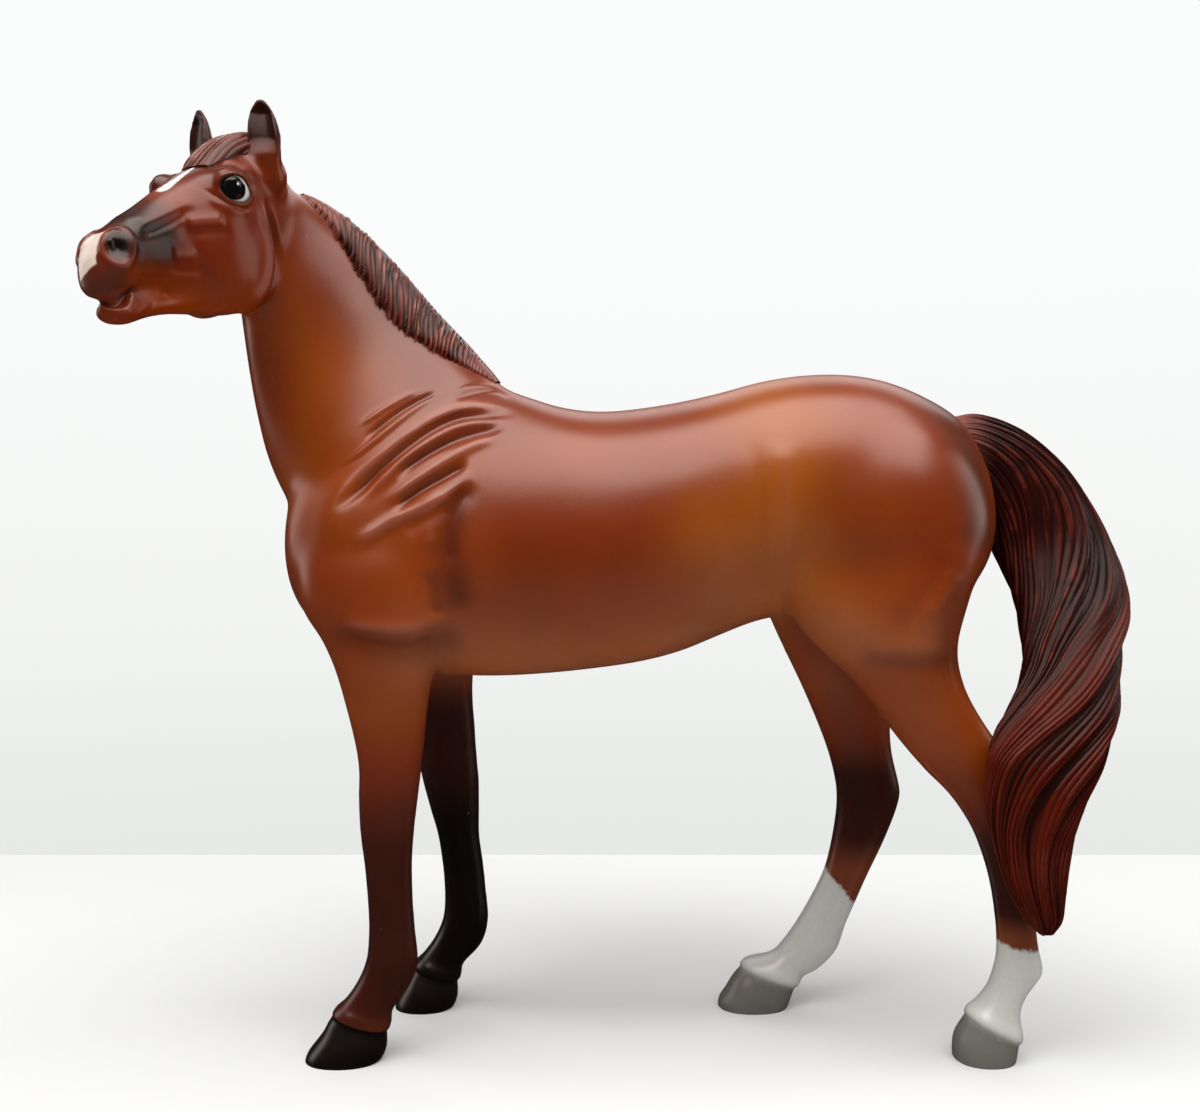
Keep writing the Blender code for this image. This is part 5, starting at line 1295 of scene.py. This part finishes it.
def hair_layer(sections, table, thickness, flow, strands):
    """A carved layer of hair over the crest of a skin, in strands that a flow lays side by side."""
    steps, half = ((60, 54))
    rows = np.array([flat(section) for section in sections])
    table = np.array(table)
    count = (len(table) - 1) * steps
    spread = np.linspace(-1, 1, 2 * half + 1)
    base, inner, depths = [], [], []
    for i in range(count + 1):
        share, depth, left, right = curve_through(table, i / count)
        section = unflat(curve_through(rows, share))
        turns = math.pi / 2 + np.radians(np.where(spread > 0, left, right) * spread * 1.15)
        base.append([section_point(section, turn) for turn in turns])
        inner.append([section_point(section, turn, -HAIR_ROOT) for turn in turns])
        depths.append(depth)
    base, inner, depths = np.array(base), np.array(inner), np.array(depths)[:, None]
    steps_down = np.linalg.norm(np.diff(base, axis=1), axis=2)
    down = np.concatenate([np.zeros((count + 1, 1)), np.cumsum(steps_down, axis=1)], axis=1) / MM
    down = np.abs(down - down[:, half:half + 1])
    crest = np.linalg.norm(np.diff(base[:, half], axis=0), axis=1)
    forward = np.concatenate([[0], np.cumsum(crest)])[:, None] / MM
    share = forward / forward[-1]
    signed = np.where(spread[None, :] < 0, -down, down) * MM
    across = flow(base, base[:, half], share, signed)
    across = across + 0.30 * np.sin(across * 0.9 + down * 0.35) + 0.25 * np.sin(across * 0.47 + 2)
    main = strand_height(across, down / 14, 2)
    fine = strand_height(across * 2.7 + 0.3 * np.sin(down * 1.1), down / 9, 6)
    lobe = 1 - np.abs(2 * (across - np.floor(across)) - 1) ** 2
    edge = 0.80 + 0.07 * lobe + 0.05 * (hash_share(np.floor(across), 4) - 0.5)
    place = np.abs(spread[None, :]) / edge
    swell = np.where(place < 1, np.maximum(1 - place ** 4, 0) ** 0.5, 0)
    height = thickness / MM * depths * swell
    combed = smoothstep(strands[0], strands[1], share) * smoothstep(strands[3], strands[2], share)
    cut = np.minimum(1, 3 * swell) * np.minimum(1, 1.3 * depths) * (0.15 + 0.85 * combed)
    cut = cut * (0.12 + 0.88 * smoothstep(0.05, 0.35, np.abs(spread))[None, :])
    height = height + (0.52 * main + 0.12 * fine) * cut
    height = np.where(place < 1, height, -0.45)
    outward = ring_normals(base)
    outward[:, [0, -1]] = outward[:, [1, -2]]
    sign = np.sign((outward * (base - inner)).sum(axis=2, keepdims=True))
    outer = base + outward * sign * height[:, :, None] * MM
    rings = np.concatenate([outer, inner[:, ::-1]], axis=1)
    columns = rings.shape[1]
    # The depth value gives painted shade in the grooves and a painted highlight on the strands' backs
    depth = 0.8 * main + 0.4 * fine
    depth = np.concatenate([depth, np.full(depth.shape, -0.5)], axis=1).ravel()
    tip = np.concatenate([place, place[:, ::-1]], axis=1).ravel()
    ends = np.repeat(1 - combed[:, 0], columns)
    return (rings.reshape(-1, 3), grid_faces(count + 1, columns), end_caps(count + 1, columns),
            depth, tip, ends)


# Materials

def plug(tree, value, socket):
    if isinstance(value, bpy.types.NodeSocket):
        tree.links.new(value, socket)
    elif isinstance(value, tuple):
        socket.default_value = (*value, 1)
    else:
        socket.default_value = value


def add_node(tree, kind, inputs, **settings):
    made = tree.nodes.new("ShaderNode" + kind)
    for name, value in settings.items():
        setattr(made, name, value)
    for name, value in inputs.items():
        plug(tree, value, made.inputs[name])
    return made


def mix_colours(tree, factor, one, other):
    made = tree.nodes.new("ShaderNodeMix")
    made.data_type = "RGBA"
    plug(tree, factor, made.inputs[0])
    plug(tree, one, made.inputs[6])
    plug(tree, other, made.inputs[7])
    return made.outputs[2]


def arithmetic(tree, operation, one, other):
    made = tree.nodes.new("ShaderNodeMath")
    made.operation = operation
    plug(tree, one, made.inputs[0])
    plug(tree, other, made.inputs[1])
    return made.outputs[0]


def remap(tree, value, low, high, start=0.0, end=1.0):
    made = add_node(tree, "MapRange", {"Value": value, "From Min": low, "From Max": high,
                                       "To Min": start, "To Max": end}, interpolation_type="SMOOTHSTEP")
    return made.outputs["Result"]


def noise(tree, coordinates, scale, detail=3.0):
    made = add_node(tree, "TexNoise", {"Vector": coordinates, "Scale": scale, "Detail": detail})
    return made.outputs["Fac"]


def point_value(tree, name, output="Fac"):
    return add_node(tree, "Attribute", {}, attribute_name=name).outputs[output]


def start_material(name, roughness):
    material = bpy.data.materials.new(name)
    material.use_nodes = True
    tree = material.node_tree
    shader = tree.nodes["Principled BSDF"]
    shader.inputs["Roughness"].default_value = roughness
    coordinates = add_node(tree, "TexCoord", {}).outputs["Object"]
    return material, tree, shader, coordinates


def brightness(tree, colour, amount):
    made = add_node(tree, "HueSaturation", {"Color": colour, "Value": amount})
    return made.outputs["Color"]


def satin_surface(tree, shader, coordinates, low, high, level):
    """Uneven gloss and a fine grain, as sprayed paint has on moulded plastic."""
    shader.inputs["Specular IOR Level"].default_value = level
    shader.inputs["Specular Tint"].default_value = SHEEN_TINT + (1,)
    patches = noise(tree, coordinates, 90.0)
    plug(tree, remap(tree, patches, 0.3, 0.7, low, high), shader.inputs["Roughness"])
    bump = add_node(tree, "Bump", {"Height": noise(tree, coordinates, 2600.0, 2.0), "Strength": 0.5,
                                   "Distance": 0.00003})
    plug(tree, bump.outputs["Normal"], shader.inputs["Normal"])


def painted_skin(name, layers, level):
    """Sprayed paint over moulded plastic, with marks, worn ridges that carry a painted highlight,
    painted shade in the hollows and specks of dust.
    """
    material, tree, shader, coordinates = start_material(name, 0.4)
    colour = point_value(tree, "paint", "Color")
    for kind, pigment, width, ragged in layers:
        wander = arithmetic(tree, "MULTIPLY", arithmetic(tree, "SUBTRACT", noise(
            tree, coordinates, 900.0), 0.5), ragged)
        place = arithmetic(tree, "ADD", point_value(tree, kind), wander)
        colour = mix_colours(tree, remap(tree, place, -width, width), colour, pigment)
    hollow = point_value(tree, "hollow")
    # Painted shade: the colour is darkened in hollows and creases
    colour = brightness(tree, colour, remap(tree, hollow, 0.25, 2.2, 1.0, 0.45))
    # Pinker paint on the ridges: partly wear, partly a painted highlight
    colour = mix_colours(tree, remap(tree, hollow, -0.40, -2.0, 0.0, 0.20), colour, WEAR_AND_HIGHLIGHT)
    for scale, change in ((55.0, 0.07), (1400.0, 0.03)):
        cloud = noise(tree, coordinates, scale)
        colour = brightness(tree, colour, remap(tree, cloud, 0.3, 0.7, 1 - change, 1 + change))
    dust = add_node(tree, "TexVoronoi", {"Vector": coordinates, "Scale": 260.0})
    speck = arithmetic(tree, "MULTIPLY", remap(tree, dust.outputs["Distance"], 0.045, 0.025),
                       remap(tree, noise(tree, coordinates, 130.0), 0.60, 0.64))
    colour = mix_colours(tree, arithmetic(tree, "MULTIPLY", speck, 0.45), colour, DUST)
    plug(tree, colour, shader.inputs["Base Color"])
    satin_surface(tree, shader, coordinates, *SKIN_ROUGHNESS, level)
    if name == "painted_face":
        wet = remap(tree, point_value(tree, "eye"), -0.1, 0.1, 0.29, EYE_ROUGHNESS)
        plug(tree, wet, shader.inputs["Roughness"])
    return material


def hair_material(name, dark, middle, light, tip, rough, level):
    """Carved strands: painted shade in the grooves, painted highlight on the backs, redder ends, with a
    satin gloss.
    """
    material, tree, shader, coordinates = start_material(name, 0.36)
    depth = point_value(tree, "depth")
    base = mix_colours(tree, point_value(tree, "tone"), middle, tip)
    # Painted shade in the grooves between the strands
    colour = mix_colours(tree, remap(tree, depth, -0.45, 0.25), dark, base)
    patches = remap(tree, noise(tree, coordinates, 220.0), 0.42, 0.58)
    # Painted highlight on the raised backs of the strands
    highlight_streak = arithmetic(tree, "MULTIPLY", remap(tree, depth, 0.15, 0.65, 0.0, 0.95), patches)
    colour = mix_colours(tree, highlight_streak, colour, light)
    colour = brightness(tree, colour, remap(tree, noise(tree, coordinates, 120.0), 0.3, 0.7, 0.8, 1.2))
    colour = mix_colours(tree, point_value(tree, "ends"), colour, CREST)
    plug(tree, colour, shader.inputs["Base Color"])
    satin_surface(tree, shader, coordinates, rough, rough + 0.12, level)
    return material


# Stage, lamps and camera

def add_floor():
    """A white board that ends behind the toy, where the white paper of the world begins."""
    wide = FLOOR_HALF_WIDTH
    near, far = FLOOR_ENDS
    mesh = bpy.data.meshes.new("floor")
    mesh.from_pydata([(-wide, near, 0), (wide, near, 0), (wide, far, 0), (-wide, far, 0)],
                     [], [(0, 1, 2, 3)])
    mesh.materials.append(floor_material())
    floor = bpy.data.objects.new("floor", mesh)
    floor.visible_glossy = False
    bpy.context.scene.collection.objects.link(floor)


def floor_material():
    """Matt white board that takes the toy's shadow, with painted shade that makes it a little darker in
    front.
    """
    material, tree, shader, coordinates = start_material("floor", 0.9)
    shader.inputs["Specular IOR Level"].default_value = 0.0
    near = add_node(tree, "SeparateXYZ", {"Vector": coordinates}).outputs["Y"]
    shade = arithmetic(tree, "MULTIPLY", remap(tree, noise(tree, coordinates, 9.0), 0.3, 0.7, 0.98, 1.0),
                       remap(tree, near, -0.14, 0.10, 0.86, 1.0))
    plug(tree, brightness(tree, FLOOR_WHITE, shade), shader.inputs["Base Color"])
    seen = add_node(tree, "LightPath", {}).outputs["Is Camera Ray"]
    glow = add_node(tree, "Emission", {"Color": (1, 1, 1),
                                       "Strength": arithmetic(tree, "MULTIPLY", seen, FLOOR_LIFT)})
    both = add_node(tree, "AddShader", {0: shader.outputs[0], 1: glow.outputs[0]})
    tree.links.new(both.outputs[0], tree.nodes["Material Output"].inputs[0])
    return material


def add_lamp(name, place, size, radiance):
    """A flat soft lamp of a width and a depth, as bright as it looks from in front."""
    lamp = bpy.data.lights.new(name, "AREA")
    lamp.shape = "RECTANGLE"
    lamp.size, lamp.size_y = size
    lamp.energy = radiance * math.pi * size[0] * size[1]
    holder = bpy.data.objects.new(name, lamp)
    holder.location = place
    holder.rotation_euler = (Vector(LAMP_TARGET) - Vector(place)).to_track_quat("-Z", "Y").to_euler()
    bpy.context.scene.collection.objects.link(holder)


def add_camera():
    camera = bpy.data.cameras.new("camera")
    camera.lens = CAMERA_LENS
    camera.sensor_width = 36
    camera.clip_start = 0.01
    holder = bpy.data.objects.new("camera", camera)
    holder.location = CAMERA_PLACE
    holder.rotation_euler = (math.pi / 2, 0, 0)
    bpy.context.scene.collection.objects.link(holder)
    bpy.context.scene.camera = holder


def add_world():
    """Faint light from all round, and white paper with painted shade that makes it greyer lower down,
    where the world is seen.
    """
    world = bpy.data.worlds.new("world")
    world.use_nodes = True
    tree = world.node_tree
    light = tree.nodes["Background"]
    light.inputs["Color"].default_value = (1, 1, 1, 1)
    light.inputs["Strength"].default_value = WORLD_STRENGTH
    direction = add_node(tree, "TexCoord", {}).outputs["Generated"]
    height = add_node(tree, "SeparateXYZ", {"Vector": direction}).outputs["Z"]
    low = mix_colours(tree, remap(tree, height, -0.233, -0.012), PAPER_LOW, PAPER_MIDDLE)
    paper = mix_colours(tree, remap(tree, height, -0.087, 0.257), low, PAPER_HIGH)
    white = add_node(tree, "Background", {"Color": paper, "Strength": 1.0})
    seen = add_node(tree, "LightPath", {}).outputs["Is Camera Ray"]
    mix = add_node(tree, "MixShader", {0: seen, 1: light.outputs[0], 2: white.outputs[0]})
    tree.links.new(mix.outputs[0], tree.nodes["World Output"].inputs[0])
    bpy.context.scene.world = world


# The pieces, put together

def build_skin():
    """The body, neck and leg pieces from the fine skin, and the head and ears from a finer one."""
    points, faces = whole_skin()
    net = Net(len(points), faces)
    steps = round(16 * (0.0012 / CELL) ** 2)
    points = net.smooth(points, (0.5 * flesh_weight(points))[:, None], steps)
    points, relief = carve(points, normals_of(points, faces))
    hollow = hollows(points, normals_of(points, faces), net, CELL)
    points, faces = trim_soles(points, faces)
    normals = normals_of(points, faces)
    names = name_faces(points, faces)
    points = snap_joints(points, faces, names)
    fine = np.char.startswith(names, "head") | np.char.startswith(names, "ear")
    add_skin_pieces(points, faces[~fine], names[~fine], normals, hollow, relief)

    used, inverse = np.unique(faces[fine], return_inverse=True)
    rim_normals = normals[used]
    points, faces, edge = refine(points[used], inverse.reshape(-1, 4))
    names = np.tile(names[fine], 4)
    net = Net(len(points), faces)
    hold = np.where(edge, 0.0, 0.5)[:, None]
    points = net.smooth(points, hold, 3)
    normals = normals_of(points, faces)
    shaped, relief = sculpt_head(points, normals)
    points = np.where(edge[:, None], points, net.smooth(shaped, hold, 1))
    normals = normals_of(points, faces)
    rim = np.flatnonzero(edge[:len(used)])
    normals[rim] = rim_normals[rim]
    add_skin_pieces(points, faces, names, normals, hollows(points, normals, net, CELL / 2), relief)


def add_skin_pieces(points, faces, names, normals, hollow, relief):
    paint, hoof, sock = skin_paint(points, normals)
    paint, marks = head_paint(points, normals, paint)
    # Painted highlight on the ridges of the folds and painted shade in their grooves
    paint = tint(paint, RIDGE_HIGHLIGHT, 0.60 * smoothstep(0.10, 0.55, relief))
    paint = tint(paint, VALLEY_SHADE, 0.60 * smoothstep(-0.12, -0.80, relief))
    for name in np.unique(names):
        slot = SLOTS[name.rsplit("_", 1)[0]]
        own = {"face": marks, "dark_leg": {"hoof": hoof}, "white_leg": {"hoof": hoof, "sock": sock}}
        mine = faces[names == name]
        caps = sole_loops(points, mine) if "leg" in name else ()
        add_piece("look_" + name, points, mine, skin_material(slot), slot, [name], normals, caps,
                  paint=paint, hollow=hollow, **own.get(slot, {}))


def skin_material(slot):
    name = "painted_" + slot
    if name not in bpy.data.materials:
        painted_skin(name, LAYERS.get(slot, ()), GLOSSES.get(slot, GLOSS))
    return bpy.data.materials[name]


def build_hair():
    material = hair_material("hair", GROOVE_SHADE, HAIR, HAIR_HIGHLIGHT, HAIR_TIP, 0.29, 0.40)
    add_hair("mane", hair_layer(neck_sections(), MANE_SHARES, MANE_THICKNESS,
                                mane_flow, MANE_STRANDS), material, "hair")
    add_hair("forelock", hair_layer(head_sections(HEAD_SHARES), FORELOCK_SHARES, FORELOCK_THICKNESS,
                                    forelock_flow, FORELOCK_STRANDS), material, "hair")
    material = hair_material("tail_hair", GROOVE_SHADE, TAIL_HAIR, TAIL_HIGHLIGHT, TAIL_TIP, 0.30, 0.20)
    add_hair("tail", tail_shape(), material, "tail")


def add_hair(name, shape, material, slot):
    points, faces, caps, depth, tone, ends = shape
    add_piece("look_" + name, points, faces, material, slot, [name], caps=caps, depth=depth, tone=tone,
              ends=ends)


build_skin()
build_hair()
add_floor()
add_world()
for lamp_name, lamp in LAMPS.items():
    add_lamp(lamp_name, *lamp)
add_camera()
bpy.context.scene.view_settings.view_transform = "Standard"
